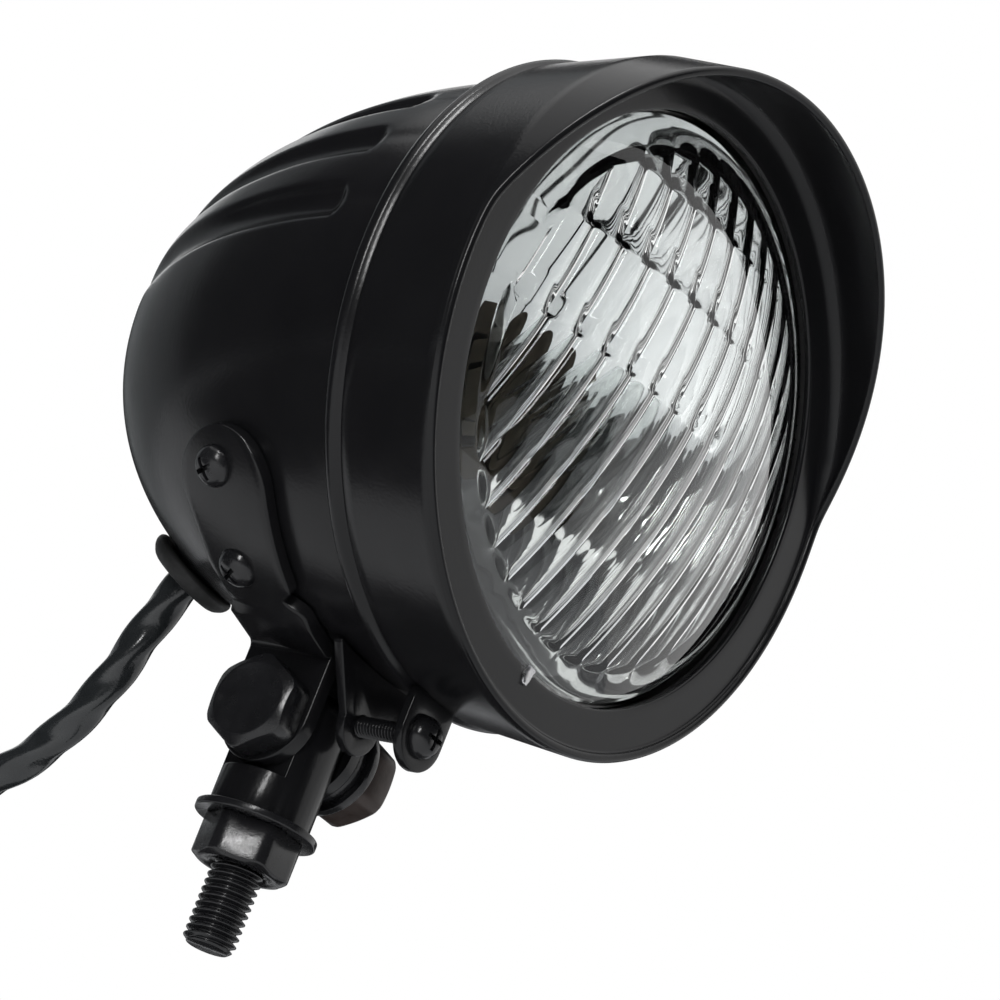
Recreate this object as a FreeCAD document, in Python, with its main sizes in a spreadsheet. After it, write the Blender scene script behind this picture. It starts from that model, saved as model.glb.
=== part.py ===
import FreeCAD
import Part
import Sketcher

import math
import os
from types import SimpleNamespace

# Single round motorbike headlight: bullet shell, trim ring with visor, fluted lens, two straps
# that hang on a tilting post with an M10 stud, and a short harness.
# Frame in mm: origin on the stud axis under the mount nut, +Z up, the light shines along -Y.

SIZES = {
    "lens_height": 90.4,
    "lens_setback": 48.6,
    "ring_wall": 1.2,
    "ring_front_radius": 64.6,
    "ring_lip": 9.8,
    "ring_clearance": 0.3,
    "bead_radius": 1.8,
    "bead_setback": 23.3,
    "band_step": 0.5,
    "visor_wall": 1.8,
    "visor_inset": 1.4,
    "visor_reach": 15.8,
    "visor_foot": 6.0,
    "visor_bow_height": 40.0,
    "visor_bow_reach": 10.8,
    "ring_ear_setback": 20.0,
    "ring_ear_wall": 2.0,
    "ring_ear_radius": 6.5,
    "clamp_offset": 6.5,
    "clamp_tab_setback": 34.0,
    "clamp_tab_radius": 5.5,
    "clamp_tab_foot": 9.5,
    "shell_radius": 58.6,
    "shell_depth": 86.8,
    "shell_wall": 2.4,
    "shell_lip": 6.0,
    "shell_droop": 4.2,
    "groove_count": 11,
    "groove_pitch": 16.0,
    "groove_depth": 1.5,
    "groove_tool": 5.0,
    "groove_front": 12.7,
    "groove_rear": 70.0,
    "lens_overlap": 2.4,
    "lens_rim": 4.0,
    "lens_wall": 3.6,
    "lens_rise": 11.0,
    "flute_pitch": 7.05,
    "flute_tool": 8.0,
    "flute_depth": 0.7,
    "gasket_wall": 1.0,
    "reflector_wall": 1.0,
    "reflector_flange": 3.7,
    "reflector_neck_radius": 17.0,
    "reflector_depth": 33.8,
    "reflector_collar": 2.0,
    "clip_wall": 0.8,
    "clip_width": 12.0,
    "bulb_radius": 8.5,
    "bulb_length": 35.0,
    "bulb_wall": 1.0,
    "bulb_plug_radius": 11.0,
    "bulb_plug_length": 4.0,
    "bulb_flange_radius": 20.0,
    "bulb_flange_wall": 1.2,
    "bulb_back_radius": 15.0,
    "bulb_back_length": 6.8,
    "blade_width": 7.8,
    "blade_wall": 0.8,
    "blade_length": 9.0,
    "blade_spread": 8.0,
    "blade_clearance": 0.2,
    "clip_wire_radius": 0.9,
    "boot_radius": 26.0,
    "boot_wall": 2.0,
    "boot_sleeve_radius": 19.0,
    "connector_width": 26.0,
    "connector_height": 14.0,
    "connector_length": 15.8,
    "lead_radius": 1.3,
    "lead_bend": 8.0,
    "grommet_station": 65.0,
    "grommet_radius": 9.6,
    "grommet_flange": 3.8,
    "grommet_neck_radius": 6.0,
    "grommet_inner_gap": 0.8,
    "cord_radius": 3.7,
    "grommet_clearance": 0.3,
    "coil_radius": 38.0,
    "coil_strand_pitch": 7.8,
    "coil_slack": 0.3,
    "tail_length": 31.0,
    "plug_length": 26.0,
    "plug_width": 17.0,
    "plug_depth": 11.0,
    "tie_wall": 1.2,
    "tie_width": 3.0,
    "tie_clearance": 0.15,
    "stud_radius": 5.0,
    "stud_drop": 25.2,
    "stud_web": 2.85,
    "thread_depth": 0.49,
    "stud_chamfer": 1.0,
    "post_radius": 9.7,
    "tongue_half": 6.3,
    "pivot_raise": 1.2542,
    "ear_radius": 9.7,
    "ear_wall": 3.0,
    "ear_clearance": 0.1,
    "ear_shoulder_gap": 0.8,
    "pivot_clearance": 0.05,
    "bolt_clearance": 0.25,
    "thread_clearance": 0.05,
    "hex_flats": 17.0,
    "bolt_head": 6.4,
    "bolt_face_radius": 7.3,
    "nut_height": 8.4,
    "bolt_overhang": 2.0,
    "spring_washer_radius": 9.1,
    "spring_washer_wall": 2.5,
    "spring_washer_slit": 1.6,
    "pivot_washer_radius": 10.5,
    "pivot_washer_wall": 2.0,
    "mount_washer_radius": 11.75,
    "mount_washer_wall": 1.5,
    "washer_clearance": 0.3,
    "strap_wall": 2.6,
    "strap_pad_width": 23.5,
    "strap_pad_offset": 3.0,
    "strap_pad_angle": 39.0,
    "strap_pad_top": 17.0,
    "strap_overlap": 1.5,
    "leg_reach": 18.5,
    "leg_room": 2.3,
    "screw_radius": 2.0,
    "screw_head_radius": 4.0,
    "screw_head_height": 2.8,
    "screw_length": 9.0,
    "screw_station": 31.5,
    "screw_upper_angle": 49.0,
    "screw_lower_angle": 29.0,
    "screw_seat": 0.15,
    "cross_width": 0.9,
    "cross_length": 4.4,
    "cross_depth": 1.3,
    "small_nut_flats": 7.0,
    "small_nut_height": 3.2,
    "small_nut_seat": 0.3,
    "overrun": 1.0,
}

doc = FreeCAD.newDocument("headlight")
sheet = doc.addObject("Spreadsheet::Sheet", "Sizes")
for row, (alias, number) in enumerate(SIZES.items(), start=1):
    sheet.set(f"A{row}", alias.replace("_", " "))
    sheet.set(f"B{row}", str(number))
    sheet.setAlias(f"B{row}", alias)
doc.recompute()


class Size:
    """A number in mm or degrees, kept with the sheet expression that gives it."""

    def __init__(self, value, text):
        self.value = float(value)
        self.text = text

    def __add__(self, other):
        other = as_size(other)
        return Size(self.value + other.value, f"({self.text} + {other.text})")

    def __radd__(self, other):
        return as_size(other) + self

    def __sub__(self, other):
        other = as_size(other)
        return Size(self.value - other.value, f"({self.text} - {other.text})")

    def __rsub__(self, other):
        return as_size(other) - self

    def __mul__(self, other):
        other = as_size(other)
        return Size(self.value * other.value, f"({self.text} * {other.text})")

    def __rmul__(self, other):
        return as_size(other) * self

    def __truediv__(self, other):
        other = as_size(other)
        return Size(self.value / other.value, f"({self.text} / {other.text})")

    def __neg__(self):
        return Size(-self.value, f"(0 - {self.text})")

    def root(self):
        return Size(math.sqrt(self.value), f"sqrt({self.text})")


def as_size(number):
    return number if isinstance(number, Size) else Size(number, repr(float(number)))


d = SimpleNamespace(**{alias: Size(number, f"Sizes.{alias}") for alias, number in SIZES.items()})
V = FreeCAD.Vector
X_AXIS = V(1, 0, 0)
Y_AXIS = V(0, 1, 0)
Z_AXIS = V(0, 0, 1)
WORLD = FreeCAD.Placement()


def turn(axis, degrees):
    return FreeCAD.Placement(V(), FreeCAD.Rotation(axis, degrees))


def shift(x, y, z):
    return FreeCAD.Placement(V(x, y, z), FreeCAD.Rotation())


def facing(point, direction):
    """Frame at a point with its own Z along a direction."""
    return FreeCAD.Placement(point, FreeCAD.Rotation(Z_AXIS, direction))


# Radii of the light unit, from the front of the ring inwards.
d.opening_radius = d.ring_front_radius - d.ring_lip
d.lens_radius = d.opening_radius + d.lens_overlap
d.reflector_rim_radius = d.lens_radius - d.reflector_flange

# Section of the shell above the post, and the pivot half way between the foot and that section.
post_station = d.lens_setback - d.bead_setback
post_share = post_station / d.shell_depth
post_section = d.shell_radius * (1 - post_share * post_share).root()
section_drop = post_station * math.sin(math.radians(d.shell_droop.value))
pivot_low = d.ear_radius + d.ear_shoulder_gap
pivot_high = d.lens_height - section_drop - post_section - d.ear_radius
d.pivot_height = (pivot_low + pivot_high) / 2 + d.pivot_raise
d.stud_engagement = d.pivot_height - d.stud_radius - d.stud_web

# Foot frame: origin in the foot of the post, which stands on the mount washer and nut.
foot_height = d.mount_washer_wall + d.nut_height
foot = shift(0, 0, foot_height.value)
# Light frame: origin in the lens opening, own Z to the rear, own Y down.
light = foot * shift(0, -d.lens_setback.value, d.lens_height.value) * turn(X_AXIS, -90)
# Shell frame: origin in the bead plane, own Z along the shell axis, which droops to the rear.
shell_frame = light * shift(0, 0, d.bead_setback.value) * turn(X_AXIS, -d.shell_droop.value)
# Pivot frame: origin in the middle of the tongue, own Z along the pivot bolt towards +X.
pivot = foot * shift(0, 0, d.pivot_height.value) * turn(Y_AXIS, 90)


def bind(item, **sizes):
    for name, number in sizes.items():
        number = as_size(number)
        setattr(item, name, number.value)
        item.setExpression(name, number.text)
    return item


def solid(kind, name, frame=WORLD, **sizes):
    item = bind(doc.addObject(f"Part::{kind}", name), **sizes)
    item.Placement = frame
    return item


def cylinder(name, frame, radius, start, end):
    item = bind(doc.addObject("Part::Cylinder", name), Radius=radius, Height=end - start)
    item.Placement = frame * shift(0, 0, as_size(start).value)
    return item


def block(name, frame, low, high):
    low = [as_size(number) for number in low]
    high = [as_size(number) for number in high]
    sides = [top - bottom for bottom, top in zip(low, high)]
    item = bind(doc.addObject("Part::Box", name), Length=sides[0], Width=sides[1], Height=sides[2])
    item.Placement = frame * shift(*[number.value for number in low])
    return item


def hexagon(name, frame, flats, start, end):
    item = doc.addObject("Part::Prism", name)
    item.Polygon = 6
    bind(item, Circumradius=flats / math.sqrt(3), Height=end - start)
    item.Placement = frame * shift(0, 0, as_size(start).value)
    return item


def fuse(name, *pieces):
    item = doc.addObject("Part::MultiFuse", name)
    item.Shapes = list(pieces)
    return item


def cut(name, base, *tools):
    item = doc.addObject("Part::Cut", name)
    item.Base = base
    item.Tool = tools[0] if len(tools) == 1 else fuse(name + "_tools", *tools)
    return item


def common(name, first, second):
    item = doc.addObject("Part::Common", name)
    item.Base = first
    item.Tool = second
    return item


def compound(name, *pieces):
    item = doc.addObject("Part::Compound", name)
    item.Links = list(pieces)
    return item


def group(name, pattern, frames):
    """Equal solids of one pattern, one in each frame."""
    doc.recompute()
    item = doc.addObject("Part::Feature", name)
    item.Shape = Part.makeCompound([pattern.Shape.transformed(frame.toMatrix(), True) for frame in frames])
    return item


def arc_through(start, middle, end):
    """Arc of a sketch through three points, and whether it runs from start to end."""
    circle = Part.Circle(start, middle, end)
    centre = circle.Center
    first = math.atan2(start.y - centre.y, start.x - centre.x)
    last = math.atan2(end.y - centre.y, end.x - centre.x)
    forward = (middle - start).cross(end - middle).z > 0
    low, high = (first, last) if forward else (last, first)
    if high < low:
        high += 2 * math.pi
    return Part.ArcOfCircle(Part.Circle(centre, Z_AXIS, circle.Radius), low, high), forward


def fix_point(sketch, geometry, place, x, y):
    for kind, number, axis in (("DistanceX", x, -2), ("DistanceY", y, -1)):
        if number.value == 0:
            sketch.addConstraint(Sketcher.Constraint("PointOnObject", geometry, place, axis))
        else:
            index = sketch.addConstraint(Sketcher.Constraint(kind, -1, 1, geometry, place, number.value))
            sketch.setExpression(f"Constraints[{index}]", number.text)


def outline(body, plane, corners, offset=None):
    """Closed sketch: corners are (x, y), or (x, y, (x, y)) to reach the next by an arc through a point."""
    sketch = body.newObject("Sketcher::SketchObject", body.Name + "_outline")
    support = [item for item in body.Origin.OriginFeatures if item.Role == plane]
    sketch.AttachmentSupport = [(support[0], "")]
    sketch.MapMode = "FlatFace"
    if offset is not None:
        sketch.AttachmentOffset = shift(0, 0, offset.value)
        sketch.setExpression("AttachmentOffset.Base.z", offset.text)
    corners = [(as_size(c[0]), as_size(c[1]), c[2] if len(c) > 2 else None) for c in corners]
    ends = []
    for index, corner in enumerate(corners):
        following = corners[(index + 1) % len(corners)]
        start = V(corner[0].value, corner[1].value, 0)
        end = V(following[0].value, following[1].value, 0)
        if corner[2] is None:
            geometry = sketch.addGeometry(Part.LineSegment(start, end))
            ends.append((geometry, 1, 2, None))
        else:
            middle = [as_size(number) for number in corner[2]]
            arc, forward = arc_through(start, V(middle[0].value, middle[1].value, 0), end)
            geometry = sketch.addGeometry(arc)
            ends.append((geometry, 1, 2, middle) if forward else (geometry, 2, 1, middle))
    for index, (geometry, first, last, middle) in enumerate(ends):
        after, start, _, _ = ends[(index + 1) % len(ends)]
        sketch.addConstraint(Sketcher.Constraint("Coincident", geometry, last, after, start))
        fix_point(sketch, geometry, first, corners[index][0], corners[index][1])
        if middle is not None:
            point = sketch.addGeometry(Part.Point(V(middle[0].value, middle[1].value, 0)), True)
            fix_point(sketch, point, 1, middle[0], middle[1])
            sketch.addConstraint(Sketcher.Constraint("PointOnObject", point, 1, geometry))
    return sketch


def add_circle(sketch, x, y, radius):
    x, y, radius = as_size(x), as_size(y), as_size(radius)
    centre = V(x.value, y.value, 0)
    geometry = sketch.addGeometry(Part.Circle(centre, Z_AXIS, radius.value))
    fix_point(sketch, geometry, 3, x, y)
    index = sketch.addConstraint(Sketcher.Constraint("Radius", geometry, radius.value))
    sketch.setExpression(f"Constraints[{index}]", radius.text)


def revolve(body, sketch):
    feature = body.newObject("PartDesign::Revolution", body.Name + "_turned")
    feature.Profile = sketch
    feature.ReferenceAxis = (sketch, ["V_Axis"])
    feature.Angle = 360
    body.Tip = feature
    return feature


def turned(name, frame, corners):
    """Body turned about its own Z from a half section of (radius, height) corners."""
    body = doc.addObject("PartDesign::Body", name)
    revolve(body, outline(body, "XZ_Plane", corners))
    body.Placement = frame
    return body


def padded(name, frame, plane, corners, length, offset=None):
    body = doc.addObject("PartDesign::Body", name)
    feature = body.newObject("PartDesign::Pad", name + "_pad")
    feature.Profile = outline(body, plane, corners, offset)
    bind(feature, Length=length)
    body.Tip = feature
    body.Placement = frame
    return body


def rounded_wire(points):
    """Straight runs joined by tangent arcs, and the radius of each arc."""
    edges = []
    radii = []
    last = points[0]
    for before, corner, after in zip(points, points[1:], points[2:]):
        run_in = corner - before
        run_out = after - corner
        half_turn = run_in.getAngle(run_out) / 2
        setback = 0.45 * min(run_in.Length, run_out.Length)
        radius = setback / math.tan(half_turn)
        run_in.normalize()
        run_out.normalize()
        first = corner - run_in * setback
        second = corner + run_out * setback
        bisector = run_out - run_in
        bisector.normalize()
        middle = corner + bisector * (radius / math.cos(half_turn) - radius)
        edges.append(Part.LineSegment(last, first).toShape())
        edges.append(Part.Arc(first, middle, second).toShape())
        radii.append(radius)
        last = second
    edges.append(Part.LineSegment(last, points[-1]).toShape())
    return Part.Wire(edges), radii


def tube_shape(points, radius):
    wire, radii = rounded_wire(points)
    section = Part.Wire(Part.makeCircle(radius, points[0], points[1] - points[0]))
    return wire.makePipeShell([section], True, False), wire.Length, radii


def on_shell(degrees, station):
    """Point on the shell and its outward direction, by angle from below towards -X and axial station."""
    radius = d.shell_radius.value * math.sqrt(1 - (station / d.shell_depth.value) ** 2)
    side = V(-math.sin(math.radians(degrees)), math.cos(math.radians(degrees)), 0)
    point = side * radius + Z_AXIS * station
    normal = side * (radius / d.shell_radius.value ** 2) + Z_AXIS * (station / d.shell_depth.value ** 2)
    normal.normalize()
    return shell_frame.multVec(point), shell_frame.Rotation.multVec(normal)


# Trim ring: band with rolled rear bead, flat front and visor, and the clamp ear below.
bead_centre = d.shell_radius + d.ring_clearance + d.bead_radius
band_rear = bead_centre + d.bead_radius - d.band_step
visor_tip = d.ring_front_radius - d.visor_inset
clamp_drop = bead_centre + d.bead_radius + d.clamp_offset
ring = turned("trim_ring", light, [
    (band_rear, d.bead_setback),
    (d.ring_front_radius, 0),
    (visor_tip, -d.visor_reach - d.overrun),
    (visor_tip - d.visor_wall, -d.visor_reach - d.overrun),
    (d.ring_front_radius - d.visor_wall, 0),
    (d.opening_radius, 0),
    (d.opening_radius, d.ring_wall),
    (d.ring_front_radius - d.visor_wall, d.ring_wall),
    (band_rear - d.ring_wall, d.bead_setback),
])
bead = ring.newObject("Sketcher::SketchObject", "bead_outline")
bead.AttachmentSupport = [([item for item in ring.Origin.OriginFeatures if item.Role == "XZ_Plane"][0], "")]
bead.MapMode = "FlatFace"
add_circle(bead, bead_centre, d.bead_setback, d.bead_radius)
revolve(ring, bead)
visor_cut = ring.newObject("PartDesign::Pocket", "visor_cut")
visor_cut.Profile = outline(ring, "YZ_Plane", [
    (-d.visor_foot, 0, (-d.visor_bow_height, -d.visor_bow_reach)),
    (-d.ring_front_radius, -d.visor_reach),
    (-d.ring_front_radius - d.overrun, -d.visor_reach * 2),
    (d.ring_front_radius + d.overrun, -d.visor_reach * 2),
    (d.ring_front_radius + d.overrun, 0),
])
visor_cut.SideType = "Symmetric"
bind(visor_cut, Length=d.ring_front_radius * 4)
ring_ear = ring.newObject("PartDesign::Pad", "ring_ear")
ear_top = band_rear - d.ring_wall / 2
ear_outline = outline(ring, "XY_Plane", [
    (-d.ring_ear_radius, ear_top),
    (d.ring_ear_radius, ear_top),
    (d.ring_ear_radius, clamp_drop, (0, clamp_drop + d.ring_ear_radius)),
    (-d.ring_ear_radius, clamp_drop),
], d.ring_ear_setback)
add_circle(ear_outline, 0, clamp_drop, d.screw_radius + d.bolt_clearance)
ring_ear.Profile = ear_outline
bind(ring_ear, Length=d.ring_ear_wall)
ring.Tip = ring_ear


# Shell: a lip and a half ellipsoid, hollow, with grooves that fade towards the rear.
def bullet(name, inset, lip):
    dome = solid("Ellipsoid", name + "_dome", shell_frame, Angle1=0, Angle2=90,
                 Radius1=d.shell_depth - inset, Radius2=d.shell_radius - inset)
    return fuse(name, dome, cylinder(name + "_lip", shell_frame, d.shell_radius - inset, -lip, Size(0, "0")))


shell_envelope = bullet("shell_envelope", Size(0, "0"), d.shell_lip)
shell_cavity = bullet("shell_cavity", d.shell_wall, d.shell_lip + d.overrun)
middle = (d.groove_front.value + d.groove_rear.value) / 2 / d.shell_depth.value
along = math.sqrt(1 - middle ** 2)
long_side = d.shell_depth * along
short_side = d.shell_radius * middle
span = (long_side * long_side + short_side * short_side).root()
bend = span * span * span / (d.shell_depth * d.shell_radius)
bend_centre = V(d.shell_radius.value * along, 0, d.shell_depth.value * middle)
bend_centre -= V(long_side.value, 0, short_side.value) * (bend.value / span.value)


def groove_turn(station):
    radius = d.shell_radius.value * math.sqrt(1 - (station / d.shell_depth.value) ** 2)
    return math.degrees(math.atan2(station - bend_centre.z, radius - bend_centre.x))


groove_start = groove_turn(d.groove_front.value)
groove_end = groove_turn(d.groove_rear.value)
grooves = []
for number in range(int(d.groove_count.value)):
    around = -90 + (number - (d.groove_count.value - 1) / 2) * d.groove_pitch.value
    frame = shell_frame * turn(Z_AXIS, around) * shift(bend_centre.x, 0, bend_centre.z)
    groove = solid("Torus", f"groove_{number + 1}", frame * turn(X_AXIS, 90) * turn(Z_AXIS, groove_start),
                   Radius1=bend - d.groove_depth + d.groove_tool, Radius2=d.groove_tool,
                   Angle3=groove_end - groove_start)
    grooves.append(groove)
grommet_point, grommet_way = on_shell(0, d.grommet_station.value)
grommet_frame = facing(grommet_point, grommet_way)
left_screws = []
for angle in (d.screw_upper_angle.value, d.screw_lower_angle.value):
    left_screws.append(on_shell(angle, d.screw_station.value))
right_screws = [(V(-point.x, point.y, point.z), V(-way.x, way.y, way.z)) for point, way in left_screws]
screw_frames = [facing(point, way) for point, way in left_screws + right_screws]
hole_depth = d.screw_length + d.overrun
screw_holes = []
for number, frame in enumerate(screw_frames, start=1):
    screw_holes.append(cylinder(f"screw_hole_{number}", frame, d.screw_radius + d.bolt_clearance,
                                -hole_depth, hole_depth))
grommet_hole = cylinder("grommet_hole", grommet_frame, d.grommet_neck_radius, -hole_depth, hole_depth)
hollow = cut("shell_hollow", shell_envelope, shell_cavity)
grooved = cut("shell_grooved", hollow, compound("grooves", *grooves))
shell = cut("shell", grooved, compound("shell_holes", grommet_hole, *screw_holes))

# Clamp tab under the shell, tapped for the screw that closes the ring.
tab_plate = padded("clamp_tab_plate", light, "XY_Plane", [
    (-d.clamp_tab_foot, d.shell_radius / 2),
    (d.clamp_tab_foot, d.shell_radius / 2),
    (d.clamp_tab_foot, d.shell_radius),
    (d.clamp_tab_radius, clamp_drop, (0, clamp_drop + d.clamp_tab_radius)),
    (-d.clamp_tab_radius, clamp_drop),
    (-d.clamp_tab_foot, d.shell_radius),
], d.ring_ear_wall, d.clamp_tab_setback)
clamp_line = light * shift(0, clamp_drop.value, 0)
tab_end = d.clamp_tab_setback + d.ring_ear_wall
tab_hole = cylinder("clamp_tab_hole", clamp_line, d.screw_radius + d.thread_clearance,
                    d.clamp_tab_setback - d.overrun, tab_end + d.overrun)
clamp_tab = cut("clamp_tab", tab_plate, shell_envelope, tab_hole)


def pan_screw(name, frame, length):
    """Cross-recessed pan head screw: own Z out of the head, origin under the head."""
    blank = turned(name + "_blank", frame, [
        (0, -length),
        (d.screw_radius, -length),
        (d.screw_radius, 0),
        (d.screw_head_radius, 0, (d.screw_head_radius * 0.8, d.screw_head_height * 0.75)),
        (0, d.screw_head_height),
    ])
    half = d.cross_length / 2
    slim = d.cross_width / 2
    floor = d.screw_head_height - d.cross_depth
    top = d.screw_head_height + d.overrun
    first = block(name + "_slot", frame, (-half, -slim, floor), (half, slim, top))
    second = block(name + "_cross", frame, (-slim, -half, floor), (slim, half, top))
    return cut(name, blank, first, second)


clamp_screw = pan_screw("clamp_screw", clamp_line * shift(0, 0, d.ring_ear_setback.value) * turn(X_AXIS, 180),
                        tab_end - d.ring_ear_setback + d.overrun)
strap_screw = pan_screw("strap_screw", WORLD, d.screw_length)
seat = d.strap_wall.value + d.screw_seat.value
bracket_screws = group("bracket_screws", strap_screw, [frame * shift(0, 0, seat) for frame in screw_frames])
nut_hex = hexagon("strap_nut_hex", WORLD, d.small_nut_flats, Size(0, "0"), d.small_nut_height)
nut_hole = cylinder("strap_nut_hole", WORLD, d.screw_radius + d.thread_clearance, -d.overrun,
                    d.small_nut_height + d.overrun)
strap_nut = cut("strap_nut", nut_hex, nut_hole)
nut_depth = d.shell_wall.value + d.small_nut_seat.value + d.small_nut_height.value
bracket_nuts = group("bracket_nuts", strap_nut, [frame * shift(0, 0, -nut_depth) for frame in screw_frames])

# Lens with a domed front and upright flutes inside, its gasket, and the reflector behind it.
rim_front = d.ring_wall + d.gasket_wall
rim_rear = rim_front + d.lens_rim
dome_foot = d.opening_radius - 2 * d.ring_clearance


def cap_bend(foot, rise):
    """Radius of a round cap from the radius of its foot and its rise."""
    return (foot * foot + rise * rise) / (2 * rise)


def cap_point(foot, rise, top):
    """Point of a round cap half way out from its axis, with the cap's top at a setback."""
    radius = cap_bend(foot, rise)
    return foot / 2, top + radius - (radius * radius - foot * foot / 4).root()


front_rise = rim_front + d.lens_rise
rear_foot = dome_foot - 1.5 * d.overrun
rear_top = d.lens_wall - d.lens_rise
rear_rise = rim_rear - rear_top
lens_blank = turned("lens_blank", light, [
    (0, -d.lens_rise, cap_point(dome_foot, front_rise, -d.lens_rise)),
    (dome_foot, rim_front),
    (d.lens_radius, rim_front),
    (d.lens_radius, rim_rear),
    (rear_foot, rim_rear, cap_point(rear_foot, rear_rise, rear_top)),
    (0, rear_top),
])
inner_bend = cap_bend(rear_foot, rear_rise)
flutes = []
flute_half = int(0.93 * rear_foot.value / d.flute_pitch.value)
for number in range(-flute_half, flute_half + 1):
    aside = number * d.flute_pitch.value
    flute_bend = math.sqrt(inner_bend.value ** 2 - aside ** 2) - d.flute_tool.value + d.flute_depth.value
    reach = math.degrees(math.asin(math.sqrt(rear_foot.value ** 2 - aside ** 2) * 0.93 / inner_bend.value))
    flute_frame = light * shift(aside, 0, rear_top.value + inner_bend.value) * turn(Y_AXIS, 90)
    flute = solid("Torus", f"flute_{number + flute_half + 1}", flute_frame * turn(Z_AXIS, -reach),
                  Radius1=flute_bend, Radius2=d.flute_tool, Angle3=2 * reach)
    flutes.append(flute)
lens = cut("lens", lens_blank, *flutes)
gasket_in = d.opening_radius + d.ring_clearance
gasket_out = d.lens_radius + d.gasket_wall
lens_gasket = turned("lens_gasket", light, [
    (gasket_in, d.ring_wall),
    (gasket_out, d.ring_wall),
    (gasket_out, rim_rear),
    (d.lens_radius, rim_rear),
    (d.lens_radius, rim_front),
    (gasket_in, rim_front),
])
bowl_end = rim_rear + d.reflector_depth
four_focal = (d.reflector_rim_radius * d.reflector_rim_radius
              - d.reflector_neck_radius * d.reflector_neck_radius) / d.reflector_depth
half_way = (d.reflector_rim_radius + d.reflector_neck_radius) / 2
bowl_sag = (d.reflector_rim_radius * d.reflector_rim_radius - half_way * half_way) / four_focal
collar_end = bowl_end + d.reflector_collar
reflector = turned("reflector", light, [
    (d.lens_radius, rim_rear),
    (d.reflector_rim_radius, rim_rear, (half_way, rim_rear + bowl_sag)),
    (d.reflector_neck_radius, bowl_end),
    (d.reflector_neck_radius, collar_end),
    (d.reflector_neck_radius + d.reflector_wall, collar_end),
    (d.reflector_neck_radius + d.reflector_wall, bowl_end + d.reflector_wall / 2,
     (half_way + d.reflector_wall * 0.6, rim_rear + bowl_sag + d.reflector_wall * 0.8)),
    (d.reflector_rim_radius + d.reflector_wall, rim_rear + d.reflector_wall),
    (d.lens_radius, rim_rear + d.reflector_wall),
])
clip_seat = rim_rear + d.reflector_wall
clip_rear = clip_seat + d.clip_wall
clip_in = d.lens_radius - 2 * d.clip_wall
band_front_in = d.ring_front_radius - d.visor_wall
band_taper = (band_front_in - band_rear + d.ring_wall) / (d.bead_setback - d.ring_wall)


def clip_out(setback):
    """Reach of a flat clip whose corners clear the round inner wall of the band."""
    room = band_front_in - band_taper * (setback - d.ring_wall) - d.ring_clearance
    return (room * room - d.clip_width * d.clip_width / 4).root()


lens_clip = padded("lens_clip", WORLD, "XZ_Plane", [
    (clip_in, clip_seat),
    (clip_out(clip_rear) - d.clip_wall, clip_seat),
    (clip_out(d.ring_wall) - d.clip_wall, d.ring_wall),
    (clip_out(d.ring_wall), d.ring_wall),
    (clip_out(clip_rear), clip_rear),
    (clip_in, clip_rear),
], d.clip_width)
clip_aside = shift(0, d.clip_width.value / 2, 0)
clip_frames = [light * turn(Z_AXIS, 45 + 90 * step) * clip_aside for step in range(4)]
lens_clips = group("lens_clips", lens_clip, clip_frames)

# Bulb, its spring clip, rubber boot, socket and leads.
plug_front = collar_end - d.bulb_plug_length
flange_rear = collar_end + d.bulb_flange_wall
back_end = flange_rear + d.bulb_back_length
bulb_base = turned("bulb_base", light, [
    (0, plug_front),
    (d.bulb_plug_radius, plug_front),
    (d.bulb_plug_radius, collar_end),
    (d.bulb_flange_radius, collar_end),
    (d.bulb_flange_radius, flange_rear),
    (d.bulb_back_radius, flange_rear),
    (d.bulb_back_radius, back_end),
    (0, back_end),
])
glass_tip = plug_front - d.bulb_length
bore = d.bulb_radius - d.bulb_wall
bulb_glass = turned("bulb_glass", light, [
    (d.bulb_radius, plug_front),
    (d.bulb_radius, glass_tip + d.bulb_radius, (d.bulb_radius * 0.7071, glass_tip + d.bulb_radius * 0.2929)),
    (0, glass_tip),
    (0, glass_tip + d.bulb_wall, (bore * 0.7071, glass_tip + d.bulb_wall + bore * 0.2929)),
    (bore, glass_tip + d.bulb_radius),
    (bore, plug_front),
])
filament_posts = []
for side in (-1, 1):
    stem = light * shift(side * bore.value / 2, 0, 0)
    top = plug_front - d.bulb_length / 2 + side * d.bulb_plug_length
    post = cylinder(f"filament_post_{side + 2}", stem, d.clip_wire_radius / 2, top, plug_front)
    wire_way = stem * shift(0, 0, top.value) * turn(X_AXIS, 90)
    coil = cylinder(f"filament_{side + 2}", wire_way, d.clip_wire_radius, -bore / 3, bore / 3)
    filament_posts.append(fuse(f"filament_pair_{side + 2}", post, coil))
bulb_filaments = compound("bulb_filaments", *filament_posts)
slim = d.blade_wall / 2
wide = d.blade_width / 2
blade_end = back_end + d.blade_length


def blades(name, grow):
    across = (-wide - grow, -slim - d.blade_spread / 2 - grow, back_end)
    pieces = [block(name + "_flat", light, across,
                    (wide + grow, slim - d.blade_spread / 2 + grow, blade_end + grow))]
    for side in (-1, 1):
        middle = side * d.blade_spread
        low = (middle - slim - grow, -wide / 2 - grow, back_end)
        high = (middle + slim + grow, wide * 1.5 + grow, blade_end + grow)
        pieces.append(block(f"{name}_upright_{side + 2}", light, low, high))
    return compound(name, *pieces)


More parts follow.
